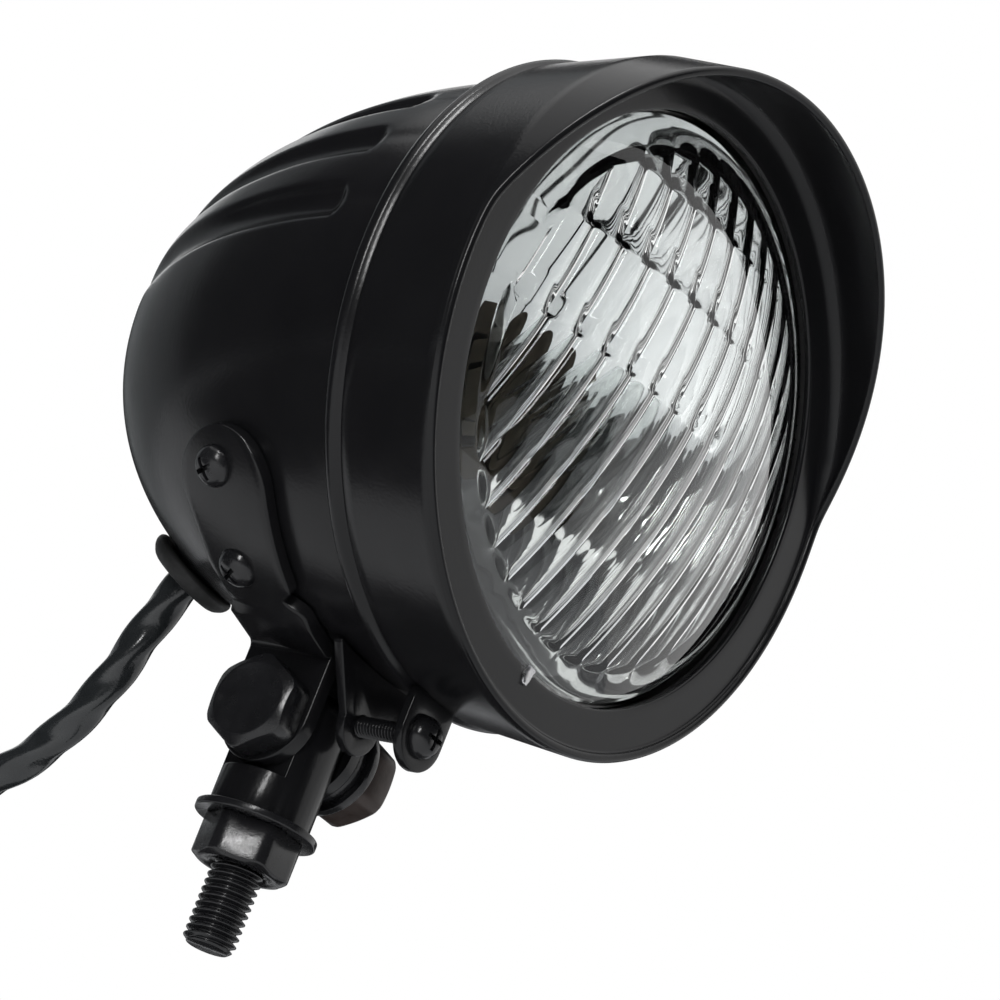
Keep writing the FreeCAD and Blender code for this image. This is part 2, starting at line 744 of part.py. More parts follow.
bulb_terminals = blades("bulb_terminals", Size(0, "0"))
clip_bend = (d.bulb_back_radius + d.bulb_flange_radius) / 2
bulb_clip = solid("Torus", "bulb_clip", light * shift(0, 0, (flange_rear + d.clip_wire_radius).value)
                  * turn(Z_AXIS, 120), Radius1=clip_bend, Radius2=d.clip_wire_radius, Angle3=300)
boot_front = bowl_end - d.reflector_collar
sleeve_start = back_end + d.boot_wall / 2
sleeve_end = back_end + d.blade_length + d.overrun
dust_boot = turned("dust_boot", light, [
    (d.boot_radius - d.boot_wall, boot_front),
    (d.boot_radius, boot_front),
    (d.boot_radius, flange_rear + d.boot_wall),
    (d.boot_sleeve_radius, sleeve_start),
    (d.boot_sleeve_radius, sleeve_end),
    (d.boot_sleeve_radius - d.boot_wall, sleeve_end),
    (d.boot_sleeve_radius - d.boot_wall, sleeve_start - d.boot_wall / 2),
    (d.boot_radius - d.boot_wall, flange_rear + d.boot_wall / 2),
])
socket_start = back_end + d.blade_clearance
socket_end = socket_start + d.connector_length
socket_wide = d.connector_width / 2
socket_high = d.connector_height / 2
socket_block = block("bulb_socket_block", light, (-socket_wide, -socket_high, socket_start),
                     (socket_wide, socket_high, socket_end))
bulb_socket = cut("bulb_socket", socket_block, blades("blade_slots", d.blade_clearance))
inside = -(d.shell_wall + d.grommet_inner_gap + d.grommet_flange).value
lead_end = light.inverse().multVec(grommet_frame.multVec(V(0, 0, inside)))
lead_way = light.Rotation.inverted().multVec(grommet_way)
inner_leads = doc.addObject("Part::Feature", "inner_leads")
lead_shapes = []
for side in (-1, 0, 1):
    start = V(side * d.blade_spread.value * 0.75, 0, socket_end.value)
    end = lead_end + X_AXIS * (side * d.lead_radius.value * 2.1)
    knee = start + Z_AXIS * d.lead_bend.value
    drop = knee + V(0, 1, 0.6) * d.lead_bend.value
    route = [start, knee, drop, end - lead_way * (1.25 * d.lead_bend.value), end]
    shape, length, radii = tube_shape([light.multVec(point) for point in route], d.lead_radius.value)
    lead_shapes.append(shape)
inner_leads.Shape = Part.makeCompound(lead_shapes)

# Grommet and harness: a lead that hangs down and back, one tied turn, and a plug.
neck_end = -d.shell_wall - d.grommet_inner_gap
cord_bore = d.cord_radius + d.grommet_clearance
cable_grommet = turned("cable_grommet", grommet_frame, [
    (cord_bore, d.grommet_flange),
    (d.grommet_radius * 0.8, d.grommet_flange),
    (d.grommet_radius, d.grommet_flange / 2),
    (d.grommet_radius, 0),
    (d.grommet_neck_radius - d.thread_clearance, 0),
    (d.grommet_neck_radius - d.thread_clearance, neck_end),
    (d.grommet_radius, neck_end),
    (d.grommet_radius, neck_end - d.grommet_flange),
    (cord_bore, neck_end - d.grommet_flange),
])
mouth = grommet_frame.multVec(V(0, 0, d.grommet_flange.value))
HARNESS_STEPS = [(4.4, -12.2), (8.2, -24.8), (16.8, -38.4), (28.8, -47.4), (37.3, -58.4), (42.3, -72.4),
                 (42.8, -87.9), (42.3, -102.4)]
route = [grommet_frame.multVec(V(0, 0, inside)), mouth]
route += [mouth + V(0, back, up) for back, up in HARNESS_STEPS]
cord_radius = d.cord_radius.value
harness_lead = doc.addObject("Part::Feature", "harness_lead")
harness_lead.Shape, lead_length, lead_radii = tube_shape(route, cord_radius)
print("lead length", round(lead_length, 1), "bend radii", [round(radius, 1) for radius in lead_radii])
print("lead volume", round(harness_lead.Shape.Volume), "section by length",
      round(math.pi * cord_radius ** 2 * lead_length))
coil_entry = route[-1]
coil_centre = coil_entry + V(d.coil_strand_pitch.value / 2, d.coil_radius.value, 0)
coil_frame = FreeCAD.Placement(coil_centre, FreeCAD.Rotation(Y_AXIS, 90))
coil_band = d.cord_radius + d.coil_slack
coil_half = d.coil_strand_pitch / 2 + coil_band
coil_blank = turned("harness_coil_blank", coil_frame, [
    (d.coil_radius - coil_band, -coil_half),
    (d.coil_radius + coil_band, -coil_half),
    (d.coil_radius + coil_band, coil_half),
    (d.coil_radius - coil_band, coil_half),
])
tail_start = coil_entry + V(d.coil_strand_pitch.value, 0, 0)
tail_frame = facing(tail_start, V(0, 0, -1))
harness_tail = cylinder("harness_tail", tail_frame, d.cord_radius, Size(0, "0"), d.tail_length)
harness_coil = cut("harness_coil", coil_blank, harness_lead, harness_tail)
plug_half = d.plug_width / 2
plug_slim = d.plug_depth / 2
plug_end = d.tail_length + d.plug_length
plug_body = block("harness_plug_body", tail_frame, (-plug_half, -plug_slim, d.tail_length),
                  (plug_half, plug_slim, plug_end))
plug_ways = []
for side in (-1, 0, 1):
    middle = side * d.plug_width * 0.3
    low = (middle - d.lead_radius, -plug_slim * 0.6, plug_end - d.blade_length)
    high = (middle + d.lead_radius, plug_slim * 0.6, plug_end + d.overrun)
    plug_ways.append(block(f"plug_way_{side + 2}", tail_frame, low, high))
latch = block("harness_plug_latch", tail_frame, (-d.lead_radius * 2, plug_slim, d.tail_length + d.tie_width),
              (d.lead_radius * 2, plug_slim + d.tie_wall, plug_end - d.tie_width))
harness_plug = cut("harness_plug", fuse("harness_plug_shell", plug_body, latch), *plug_ways)
tie_frame = shift(coil_centre.x, coil_entry.y, coil_entry.z)
tie_x = coil_half + d.tie_clearance
tie_y = coil_band + d.tie_clearance
tie_z = d.tie_width / 2
tie_outer = block("harness_tie_outer", tie_frame, (-tie_x - d.tie_wall, -tie_y - d.tie_wall, -tie_z),
                  (tie_x + d.tie_wall, tie_y + d.tie_wall, tie_z))
tie_inner = block("harness_tie_inner", tie_frame, (-tie_x, -tie_y, -tie_z - d.overrun),
                  (tie_x, tie_y, tie_z + d.overrun))
harness_tie = cut("harness_tie", tie_outer, tie_inner)

# Post with its milled tongue, the stud in its foot, and the washer and nut on the stud.
eye_top = d.pivot_height + d.ear_radius
post_bar = cylinder("post_bar", foot, d.post_radius, Size(0, "0"), eye_top)
post_foot = block("post_foot", foot, (-d.post_radius, -d.post_radius, 0),
                  (d.post_radius, d.post_radius, d.pivot_height))
post_eye = cylinder("post_eye", pivot, d.ear_radius, -d.post_radius, d.post_radius)
post_round = common("post_round", post_bar, fuse("post_form", post_foot, post_eye))
shoulder = d.pivot_height - d.ear_radius - d.ear_shoulder_gap
flats = []
for side in (-1, 1):
    low = d.tongue_half if side > 0 else -d.post_radius - d.overrun
    high = d.post_radius + d.overrun if side > 0 else -d.tongue_half
    flats.append(block(f"post_flat_{side + 2}", foot, (low, -d.post_radius - d.overrun, shoulder),
                       (high, d.post_radius + d.overrun, eye_top + d.overrun)))
post_hole = cylinder("post_pivot_hole", pivot, d.stud_radius + d.pivot_clearance, -d.post_radius,
                     d.post_radius)
tapped_radius = d.stud_radius - d.thread_depth
post_bore = cylinder("post_stud_bore", foot, tapped_radius, -d.overrun,
                     d.stud_engagement + d.thread_clearance)
swivel_post = cut("swivel_post", post_round, post_hole, post_bore, *flats)
stud_core = d.stud_radius - d.stud_chamfer
held_radius = tapped_radius - d.thread_clearance
mount_stud = turned("mount_stud", foot, [
    (0, -d.stud_drop),
    (stud_core, -d.stud_drop),
    (d.stud_radius, d.stud_chamfer - d.stud_drop),
    (d.stud_radius, -foot_height),
    (held_radius, -foot_height),
    (held_radius, d.stud_engagement),
    (0, d.stud_engagement),
])


def washer(name, frame, radius, hole, start, end):
    plate = cylinder(name + "_plate", frame, radius, start, end)
    return cut(name, plate, cylinder(name + "_hole", frame, hole, start - d.overrun, end + d.overrun))


def hex_nut(name, frame, bore, start, end):
    hexed = hexagon(name + "_hex", frame, d.hex_flats, start, end)
    corner = d.hex_flats / math.sqrt(3)
    cone = turned(name + "_form", frame, [
        (0, start),
        (d.hex_flats * 0.475, start),
        (corner + d.stud_chamfer / 4, start + d.stud_chamfer),
        (corner + d.stud_chamfer / 4, end - d.stud_chamfer),
        (d.hex_flats * 0.475, end),
        (0, end),
    ])
    hole = cylinder(name + "_hole", frame, bore, start - d.overrun, end + d.overrun)
    return cut(name, common(name + "_blank", hexed, cone), hole)


washer_low = -d.mount_washer_wall
mount_washer = washer("mount_washer", foot, d.mount_washer_radius, d.stud_radius + d.washer_clearance,
                      washer_low, Size(0, "0"))
mount_nut = hex_nut("mount_nut", foot, tapped_radius, washer_low - d.nut_height, washer_low)

# Pivot bolt through both strap ears, with spring washer, washer and nut on the +X side.
ear_in = d.tongue_half + d.ear_clearance
ear_out = ear_in + d.ear_wall
spring_end = ear_out + d.spring_washer_wall
washer_end = spring_end + d.pivot_washer_wall
nut_end = washer_end + d.nut_height
head_hex = hexagon("pivot_head_hex", pivot, d.hex_flats, -ear_out - d.bolt_head, -ear_out)
head_form = turned("pivot_head_form", pivot, [
    (0, -ear_out - d.bolt_head),
    (d.bolt_face_radius, -ear_out - d.bolt_head),
    (d.hex_flats * 0.62, -ear_out - d.bolt_head + d.stud_chamfer * 1.4),
    (d.hex_flats * 0.62, -ear_out),
    (0, -ear_out),
])
pivot_shank = cylinder("pivot_shank", pivot, d.stud_radius, -ear_out, nut_end + d.bolt_overhang)
pivot_bolt = fuse("pivot_bolt", common("pivot_head", head_hex, head_form), pivot_shank)
spring_ring = washer("pivot_spring_ring", pivot, d.spring_washer_radius, d.stud_radius + d.washer_clearance,
                     ear_out, spring_end)
slit = block("pivot_spring_slit", pivot, (-d.spring_washer_slit / 2, 0, ear_out - d.overrun),
             (d.spring_washer_slit / 2, d.spring_washer_radius + d.overrun, spring_end + d.overrun))
pivot_spring_washer = cut("pivot_spring_washer", spring_ring, slit)
pivot_washer = washer("pivot_washer", pivot, d.pivot_washer_radius, d.stud_radius + d.washer_clearance,
                      spring_end, washer_end)
pivot_nut = hex_nut("pivot_nut", pivot, d.stud_radius + d.thread_clearance, washer_end, nut_end)

# Left strap: a pad that follows the shell, a straight leg and an ear on the pivot; the right one mirrors it.
pad_sine = math.sin(math.radians(d.strap_pad_angle.value))
pad_cosine = math.cos(math.radians(d.strap_pad_angle.value))
pad_station = d.strap_pad_offset + d.lens_setback - d.bead_setback
pad_share = pad_station / d.shell_depth
pad_radius = d.shell_radius * (1 - pad_share * pad_share).root()
pad_axis = shell_frame.multVec(V(0, 0, pad_station.value))
pad_middle = pad_axis - V(pad_sine, 0, pad_cosine) * pad_radius.value
pad_frame = FreeCAD.Placement(pad_middle, FreeCAD.Rotation(Y_AXIS, d.strap_pad_angle.value))
pad_bottom = (pad_radius * pad_sine - d.leg_reach + d.strap_overlap) / pad_cosine
pad_half = d.strap_pad_width / 2
pad_deep = d.shell_radius / 3
pad_block = block("strap_pad_block", pad_frame, (pad_half - d.strap_pad_top, -pad_half, -pad_deep),
                  (pad_bottom, pad_half, pad_deep))
pad_round = cylinder("strap_pad_round", pad_frame * shift((pad_half - d.strap_pad_top).value, 0, 0), pad_half,
                     -pad_deep, pad_deep)
strap_dome = solid("Ellipsoid", "strap_dome", shell_frame, Angle1=0, Angle2=90,
                   Radius1=d.shell_depth + d.strap_wall, Radius2=d.shell_radius + d.strap_wall)
strap_pad = common("strap_pad", strap_dome, fuse("strap_pad_form", pad_block, pad_round))
pad_axis_height = foot.inverse().multVec(pad_axis).z
leg_start = pad_axis_height - (pad_radius * pad_radius - d.leg_reach * d.leg_reach).root()
leg_end = d.pivot_height + d.pivot_washer_radius + d.leg_room
leg_slope = (leg_start - leg_end) / (d.leg_reach - ear_in)
leg_drop = d.ear_wall * (1 + leg_slope * leg_slope).root()
leg_low = leg_end + leg_slope * d.ear_wall - leg_drop
strap_leg = padded("strap_leg", foot * shift(0, d.ear_radius.value, 0), "XZ_Plane", [
    (-d.leg_reach, leg_start),
    (-ear_in, leg_end),
    (-ear_in, d.pivot_height),
    (-ear_out, d.pivot_height),
    (-ear_out, leg_low),
    (-d.leg_reach, leg_start - leg_drop),
], d.ear_radius * 2)
strap_ear = cylinder("strap_ear", pivot, d.ear_radius, -ear_out, -ear_in)
strap_form = fuse("strap_form", strap_pad, strap_leg, strap_ear)
ear_hole = cylinder("strap_ear_hole", pivot, d.stud_radius + d.bolt_clearance, -ear_out - d.overrun,
                    d.overrun - ear_in)
strap_holes = compound("strap_holes", ear_hole, screw_holes[0], screw_holes[1])
bracket_left = cut("bracket_left", cut("strap_seated", strap_form, shell_envelope), strap_holes)
bracket_right = doc.addObject("Part::Mirroring", "bracket_right")
bracket_right.Source = bracket_left
bracket_right.Normal = X_AXIS

NODES = [
    shell, ring, clamp_tab, clamp_screw, lens, lens_gasket, reflector, lens_clips,
    bulb_glass, bulb_filaments, bulb_base, bulb_terminals, bulb_clip, dust_boot, bulb_socket, inner_leads,
    bracket_left, bracket_right, bracket_screws, bracket_nuts,
    swivel_post, mount_stud, mount_washer, mount_nut,
    pivot_bolt, pivot_spring_washer, pivot_washer, pivot_nut,
    cable_grommet, harness_lead, harness_coil, harness_tail, harness_tie, harness_plug,
]
doc.recompute()
for item in doc.Objects:
    if "Invalid" in item.State or "Error" in item.State:
        raise ValueError(f"{item.Name} did not compute: {item.State}")
os.makedirs("parts", exist_ok=True)
for item in NODES:
    item.Label = item.Name
    if item.Shape.isNull() or not item.Shape.isValid():
        raise ValueError(f"{item.Name} has no valid shape")
    print(item.Label, "solids", len(item.Shape.Solids), "volume", round(item.Shape.Volume))
    item.Shape.exportStep(f"parts/{item.Label}.step")
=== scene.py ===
import math

import bmesh
import bpy
from mathutils import Matrix, Vector


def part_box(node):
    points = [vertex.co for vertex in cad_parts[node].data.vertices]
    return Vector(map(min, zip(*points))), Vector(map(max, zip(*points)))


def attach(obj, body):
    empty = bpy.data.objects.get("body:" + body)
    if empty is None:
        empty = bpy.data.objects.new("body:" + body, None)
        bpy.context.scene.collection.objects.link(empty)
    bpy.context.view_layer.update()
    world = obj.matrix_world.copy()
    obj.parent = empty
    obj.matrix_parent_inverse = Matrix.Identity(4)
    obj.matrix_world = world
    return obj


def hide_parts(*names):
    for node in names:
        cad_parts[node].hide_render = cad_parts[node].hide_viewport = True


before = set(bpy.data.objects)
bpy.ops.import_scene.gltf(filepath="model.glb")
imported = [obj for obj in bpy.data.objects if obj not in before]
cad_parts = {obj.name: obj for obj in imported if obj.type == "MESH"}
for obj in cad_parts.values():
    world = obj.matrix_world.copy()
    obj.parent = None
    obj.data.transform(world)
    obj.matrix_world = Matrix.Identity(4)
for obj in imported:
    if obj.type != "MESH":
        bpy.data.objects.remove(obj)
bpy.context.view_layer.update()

MM = 0.001
LEFT, RIGHT = Vector((-1, 0, 0)), Vector((1, 0, 0))
UP, DOWN = Vector((0, 0, 1)), Vector((0, 0, -1))
REARWARD = Vector((0, 1, 0))

# Camera: place in metres and its own axes, fitted to the photograph's view from below the lamp.
CAMERA_PLACE = Vector((-0.6835, -0.5663, -0.2041))
CAMERA_RIGHT = Vector((0.4891, -0.7998, 0.3479))
CAMERA_UP = Vector((-0.4525, 0.1082, 0.8852))
CAMERA_LENS_MM = 180
SENSOR_MM = 36
LAMP_TARGET = Vector((0, 0, 0.08))

# Stage in mm.
FLOOR_LEVEL = -300.0
FLOOR_HALF = 3000
DRAPE_REACH = 2600
DRAPE_TOP = 2900
MAT_LIFT = 1

# Light frame in mm: centre of the lens opening; setbacks run from there to the rear.
LENS_CENTRE = Vector((0, -48.6, 100.3))
SHELL_CENTRE = Vector((0, -25.3, 100.3))
SHELL_DROOP = math.radians(4.2)

# Trim ring in mm: band and opening, rolled bead, visor, and the clamp ear below.
RING_FRONT = 64.6
RING_OPENING = 54.8
RING_WALL = 1.2
RING_ROUND = 0.6
BEAD_SETBACK = 23.3
BEAD_CENTRE = 60.7
BEAD_RADIUS = 1.8
BAND_REAR = 62.0
BAND_GAP = 2.6
CREASE_GAP = 2.0
CREASE_DEPTH = 0.45
INNER_GAP = 1.4
VISOR_WALL = 1.8
VISOR_INSET = 1.4
VISOR_REACH = 15.7
VISOR_FOOT = 6.0
VISOR_RISE = 0.384
VISOR_BOW = 0.00195
VISOR_FILLET = 3.0
VISOR_FILLET_SHARE = 0.6
VISOR_EASE = 1.0
HEM_HEIGHT = 1.1
CLAMP_DROP = 69.0
EAR_SETBACK = 20.0
EAR_WALL = 2.0
EAR_RADIUS = 6.5
EAR_HOLE = 2.25
EAR_BEVEL = 0.35
EAR_CORNER = 0.1
EAR_ROOT = 0.6

# Shell in mm.
SHELL_RADIUS = 58.6
SHELL_DEPTH = 86.8
SHELL_LIP = 6.0
LIP_TRIM = 0.4
SHELL_WALL = 2.4
GROOVES = 11
GROOVE_PITCH = math.radians(16)
GROOVE_DEPTH = 2.0
GROOVE_TOOL = 5.0
GROOVE_EDGE = 0.4
GROOVE_FRONT = 12.7
GROOVE_RAMP = (-0.4, 2.0)
GROOVE_REAR = 80.0
GROOVE_FADE = 16.0

# Lens, its clip and the reflector in mm. A prism row is (foot, top, depth); the rows fade out to the right.
LENS_RADIUS = 57.2
DOME_FOOT = 54.2
DOME_BEND = 117.87
DOME_TOP = -11.0
RIM_FRONT = 2.2
RIM_REAR = 6.2
RIM_CHAMFER = (0.8, 1.6)
RIM_STEP = 0.3
INNER_FOOT = 52.7
INNER_BEND = 108.9
INNER_TOP = -7.4
FLUTED_RADIUS = 47.5
FLUTE_PITCH = 7.05
FLUTE_TOOL = 5.6
FLUTE_DEPTH = 1.24
FLUTE_LEAN = 0.155
FLUTE_FADE = 1.5
FLUTE_MARGIN = 0.3
PRISM_ROWS = ((35.5, 60.0, 1.2), (18.0, 35.5, 2.4), (-1.6, 18.0, 2.3), (-25.0, -1.6, 1.6))
PRISM_FOOT = 1.0
PRISM_RISER = 6.5
PRISM_FADE = (-15, 25)
PRISM_LOSS = 0.85
CLIP_ANGLE = math.radians(184.4)
CLIP_WALL = 0.5
CLIP_BREAK = (0.7, 0.8)
CLIP_STATIONS = ((54.3, 1.3, 0.3), (55.2, 1.35, 0.0), (56.6, 1.1, 0.0), (57.4, 0.8, 0.0), (57.7, 0.5, 0.1))
REFLECTOR_RIM = 53.5
REFLECTOR_NECK = 17.0
REFLECTOR_DEPTH = 33.8
REFLECTOR_COLLAR = 2.0
REFLECTOR_STEP = 0.3
REFLECTOR_WALL = 1.0
REFLECTOR_SKIN = (0.55, 0.85)

# Harness in mm: its route from the grommet to the tied turn, the turn, and the lobes of its twisted wires.
CORD_ROUTE = [
    (0, 32.85, 62.67), (0, 38.76, 53.63), (0, 43.16, 41.43), (0, 46.96, 28.83), (0, 55.56, 15.23),
    (0, 67.56, 6.23), (0, 76.06, -4.77), (0, 81.06, -18.77), (0, 81.56, -34.27), (0, 81.06, -48.77),
]
COIL_RADIUS = 38.0
COIL_PITCH = 7.8
COIL_POINTS = 16
TAIL_STEPS = (10.0, 20.5, 31.0)
CORD_DIAMETER = 7.4
CORD_LOBES = 3
CORD_LAY = 38.0
CORD_SWELL = 0.07

# Straps, bolts and clamp tab in mm. A thread is (radius, pitch), a dish (radius, depth).
STRAP_WALL = 2.6
STRAP_EDGE = 0.6
PAD_STATION = 28.3
PAD_TOP = math.radians(56.7)
PAD_HALF = 11.6
PAD_MIDDLE = 3.0
PAD_TAPER = 2.4
PAD_TAPER_RUN = (10, 24)
PAD_NARROW_FROM = 26
PAD_EASE = 2.5
PAD_END_SWEEP = (7, 90)
NOTCH_PLACE = 32.5
NOTCH_DEPTH = 2.4
NOTCH_WIDTH = 1.2
LEG_REACH = 18.5
LEG_TOP = 46.01
LEG_END = 43.2
STRAP_EAR = 9.7
STRAP_EAR_IN = 6.4
STRAP_EAR_WALL = 3.0
STRAP_EAR_STEP = math.radians(90 / 11.4)
STRAP_CLEARANCE = 0.02
LEG_BEND = 4.5
PIVOT_HEIGHT = 27.8
HEX_FLATS = 17.0
HEX_ROUND = 9.35
HEX_EDGE = 0.22
HEX_SLOPE = 0.5
BOLT_FACE = 7.3
BOLT_DISH = (6.7, 0.25)
NUT_FACE = 8.0
NUT_DISH = (5.7, 0.6)
M10_THREAD = (5.0, 1.5)
M4_THREAD = (2.0, 0.7)
THREAD_OVERLAP = 0.5
THREAD_DEPTH = 0.61
THREAD_SLOPE = (1.35, 0.17)
TAB_SPREAD = 4.9
TAB_SPREAD_RUN = (33, 38)
TAB_CORE = 4

# Softened solids: what counts as one point (m), one flat face and one edge, and the screw that is kept (mm).
MERGE_DISTANCE = 0.00001
FLAT_ANGLE = math.radians(1)
EDGE_ANGLE = math.radians(35)
KEEP_MARGIN = 0.05

# Materials: the noise values over which roughness runs, and how much finer its noise is than the colour's.
ROUGHNESS_RANGE = (0.3, 0.7)
ROUGHNESS_FINER = 2.3


# Mesh helpers.
def mesh_piece(name, points, faces, sharp=None):
    """New object from points in mm, smooth shaded, with edges over the sharp angle kept crisp."""
    mesh = bpy.data.meshes.new(name)
    mesh.from_pydata([tuple(float(c) * MM for c in point) for point in points], [], faces)
    mesh.validate()
    piece = bpy.data.objects.new(name, mesh)
    bpy.context.collection.objects.link(piece)
    mesh.shade_smooth()
    if sharp:
        mesh.set_sharp_from_angle(angle=math.radians(sharp))
    return piece


def grid_faces(rows, columns, start=0, wrap=True):
    """Faces over rows of points, each row closed to a ring where they wrap."""
    faces = []
    for row in range(rows - 1):
        for column in range(columns if wrap else columns - 1):
            after = (column + 1) % columns
            low = start + row * columns
            high = low + columns
            faces.append((low + column, low + after, high + after, high + column))
    return faces


def ring_bridge(first, second, count):
    """Faces between two closed rings, each given by its first point's number."""
    pairs = [(column, (column + 1) % count) for column in range(count)]
    return [(first + one, first + two, second + two, second + one) for one, two in pairs]


def ring_fan(start, count, tip):
    """Faces from a closed ring to one point."""
    return [(start + column, start + (column + 1) % count, tip) for column in range(count)]


def end_caps(rows, columns):
    """One face over each end of a tube."""
    last = (rows - 1) * columns
    return [tuple(range(columns - 1, -1, -1)), tuple(range(last, last + columns))]


def outward(piece):
    """All faces turned to look out of the closed mesh."""
    mesh = bmesh.new()
    mesh.from_mesh(piece.data)
    bmesh.ops.recalc_face_normals(mesh, faces=mesh.faces)
    mesh.to_mesh(piece.data)
    mesh.free()
    return piece


def dress(piece, body, slot, look, *nodes):
    """Give a piece its material and body, and hide the CAD nodes that it stands for. The slot is not used."""
    piece.data.materials.clear()
    piece.data.materials.append(look)
    if nodes:
        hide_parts(*nodes)
    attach(piece, body)
    return piece


def light_point(setback, radius, angle):
    """Point in mm by setback, radius and angle from the top towards +X."""
    return LENS_CENTRE + Vector((radius * math.sin(angle), setback, radius * math.cos(angle)))


SHELL_AXIS = Vector((0, math.cos(SHELL_DROOP), -math.sin(SHELL_DROOP)))
SHELL_UP = Vector((0, math.sin(SHELL_DROOP), math.cos(SHELL_DROOP)))


def shell_point(station, radius, angle):
    """Point in mm by station along the shell's own drooping axis, radius and angle."""
    around = SHELL_UP * (radius * math.cos(angle)) + Vector((radius * math.sin(angle), 0, 0))
    return SHELL_CENTRE + SHELL_AXIS * station + around


def smooth_step(low, high, value):
    share = min(1.0, max(0.0, (value - low) / (high - low)))
    return share * share * (3 - 2 * share)


# Materials.
def node_of(tree, kind, **values):
    node = tree.nodes.new(kind)
    for name, value in values.items():
        setattr(node, name, value)
    return node


def noise(tree, scale, detail=3.0):
    place = node_of(tree, "ShaderNodeTexCoord")
    cloud = node_of(tree, "ShaderNodeTexNoise")
    cloud.inputs["Scale"].default_value = scale
    cloud.inputs["Detail"].default_value = detail
    tree.links.new(place.outputs["Object"], cloud.inputs["Vector"])
    return cloud.outputs["Fac"]


def surface(name, colours, roughness, scale, bump=None, **sockets):
    """Material whose colour and roughness drift between two values, with an optional fine bump."""
    material = bpy.data.materials.new(name)
    material.use_nodes = True
    tree = material.node_tree
    shader = tree.nodes["Principled BSDF"]
    # The mix node's colours are its inputs 6 and 7 and its output 2.
    tint = node_of(tree, "ShaderNodeMix", data_type="RGBA")
    tint.inputs[6].default_value = (*colours[0], 1)
    tint.inputs[7].default_value = (*colours[1], 1)
    tree.links.new(noise(tree, scale), tint.inputs[0])
    tree.links.new(tint.outputs[2], shader.inputs["Base Color"])
    spread = node_of(tree, "ShaderNodeMapRange")
    spread.inputs["From Min"].default_value = ROUGHNESS_RANGE[0]
    spread.inputs["From Max"].default_value = ROUGHNESS_RANGE[1]
    spread.inputs["To Min"].default_value = roughness[0]
    spread.inputs["To Max"].default_value = roughness[1]
    tree.links.new(noise(tree, scale * ROUGHNESS_FINER, detail=5.0), spread.inputs["Value"])
    tree.links.new(spread.outputs["Result"], shader.inputs["Roughness"])
    if bump:
        fineness, distance, strength = bump
        relief = node_of(tree, "ShaderNodeBump")
        relief.inputs["Distance"].default_value = distance
        relief.inputs["Strength"].default_value = strength
        tree.links.new(noise(tree, fineness, detail=2.0), relief.inputs["Height"])
        tree.links.new(relief.outputs["Normal"], shader.inputs["Normal"])
    for socket, value in sockets.items():
        shader.inputs[socket.replace("_", " ")].default_value = value
    return material


paint = surface("satin_black_paint", ((0.0035, 0.0035, 0.004), (0.006, 0.006, 0.0065)), (0.19, 0.25), 60,
                bump=(1500, 0.0001, 0.2), Specular_IOR_Level=0.22)
steel = surface("black_steel", ((0.004, 0.004, 0.0045), (0.01, 0.01, 0.011)), (0.16, 0.3), 220,
                bump=(2500, 0.0001, 0.2), Specular_IOR_Level=0.35)
bronze = surface("bronzed_steel", ((0.014, 0.009, 0.007), (0.032, 0.02, 0.016)), (0.3, 0.5), 250,
                 bump=(2500, 0.0001, 0.2), Metallic=0.3)
glass = surface("clear_glass", ((0.94, 0.965, 0.955), (0.98, 0.99, 0.985)), (0.0, 0.012), 90,
                Transmission_Weight=1.0, IOR=1.5)
mirror = surface("mirror_coat", ((0.8, 0.81, 0.81), (0.88, 0.88, 0.87)), (0.03, 0.07), 70, Metallic=1.0)
rubber = surface("black_rubber", ((0.005, 0.005, 0.005), (0.012, 0.012, 0.012)), (0.5, 0.68), 300,
                 bump=(2200, 0.0001, 0.3), Specular_IOR_Level=0.3)
sleeve = surface("sleeve_rubber", ((0.007, 0.008, 0.0085), (0.016, 0.0175, 0.0185)), (0.13, 0.22), 260,
                 bump=(1800, 0.0001, 0.25), Specular_IOR_Level=0.45)
plastic = surface("moulded_plastic", ((0.012, 0.012, 0.012), (0.022, 0.022, 0.022)), (0.4, 0.55), 300,
                  bump=(2600, 0.0001, 0.25))
spring = surface("spring_steel", ((0.45, 0.45, 0.46), (0.6, 0.6, 0.61)), (0.2, 0.35), 400, Metallic=1.0)
brass = surface("bulb_brass", ((0.045, 0.04, 0.033), (0.075, 0.062, 0.047)), (0.3, 0.45), 200, Metallic=1.0)
drape_cloth = surface("drape_cloth", ((0.012, 0.012, 0.013), (0.02, 0.02, 0.021)), (0.9, 1.0), 4)
screen_cloth = surface("screen_cloth", ((0.28, 0.29, 0.29), (0.36, 0.37, 0.37)), (0.9, 1.0), 4)


# Camera, light and floor.
def add_camera():
    back = CAMERA_RIGHT.cross(CAMERA_UP).normalized()
    right = CAMERA_UP.cross(back).normalized()
    up = back.cross(right)
    data = bpy.data.cameras.new("camera")
    data.sensor_width = SENSOR_MM
    data.lens = CAMERA_LENS_MM
    data.clip_start = 0.01
    camera = bpy.data.objects.new("camera", data)
    turn = Matrix((right, up, back)).transposed().to_4x4()
    camera.matrix_world = Matrix.Translation(CAMERA_PLACE) @ turn
    bpy.context.collection.objects.link(camera)
    bpy.context.scene.camera = camera


def add_softbox(name, place, size, power):
    data = bpy.data.lights.new(name, "AREA")
    data.shape = "RECTANGLE"
    data.size, data.size_y = size
    data.energy = power
    lamp = bpy.data.objects.new(name, data)
    lamp.location = place
    lamp.rotation_euler = (LAMP_TARGET - Vector(place)).to_track_quat("-Z", "Y").to_euler()
    bpy.context.collection.objects.link(lamp)


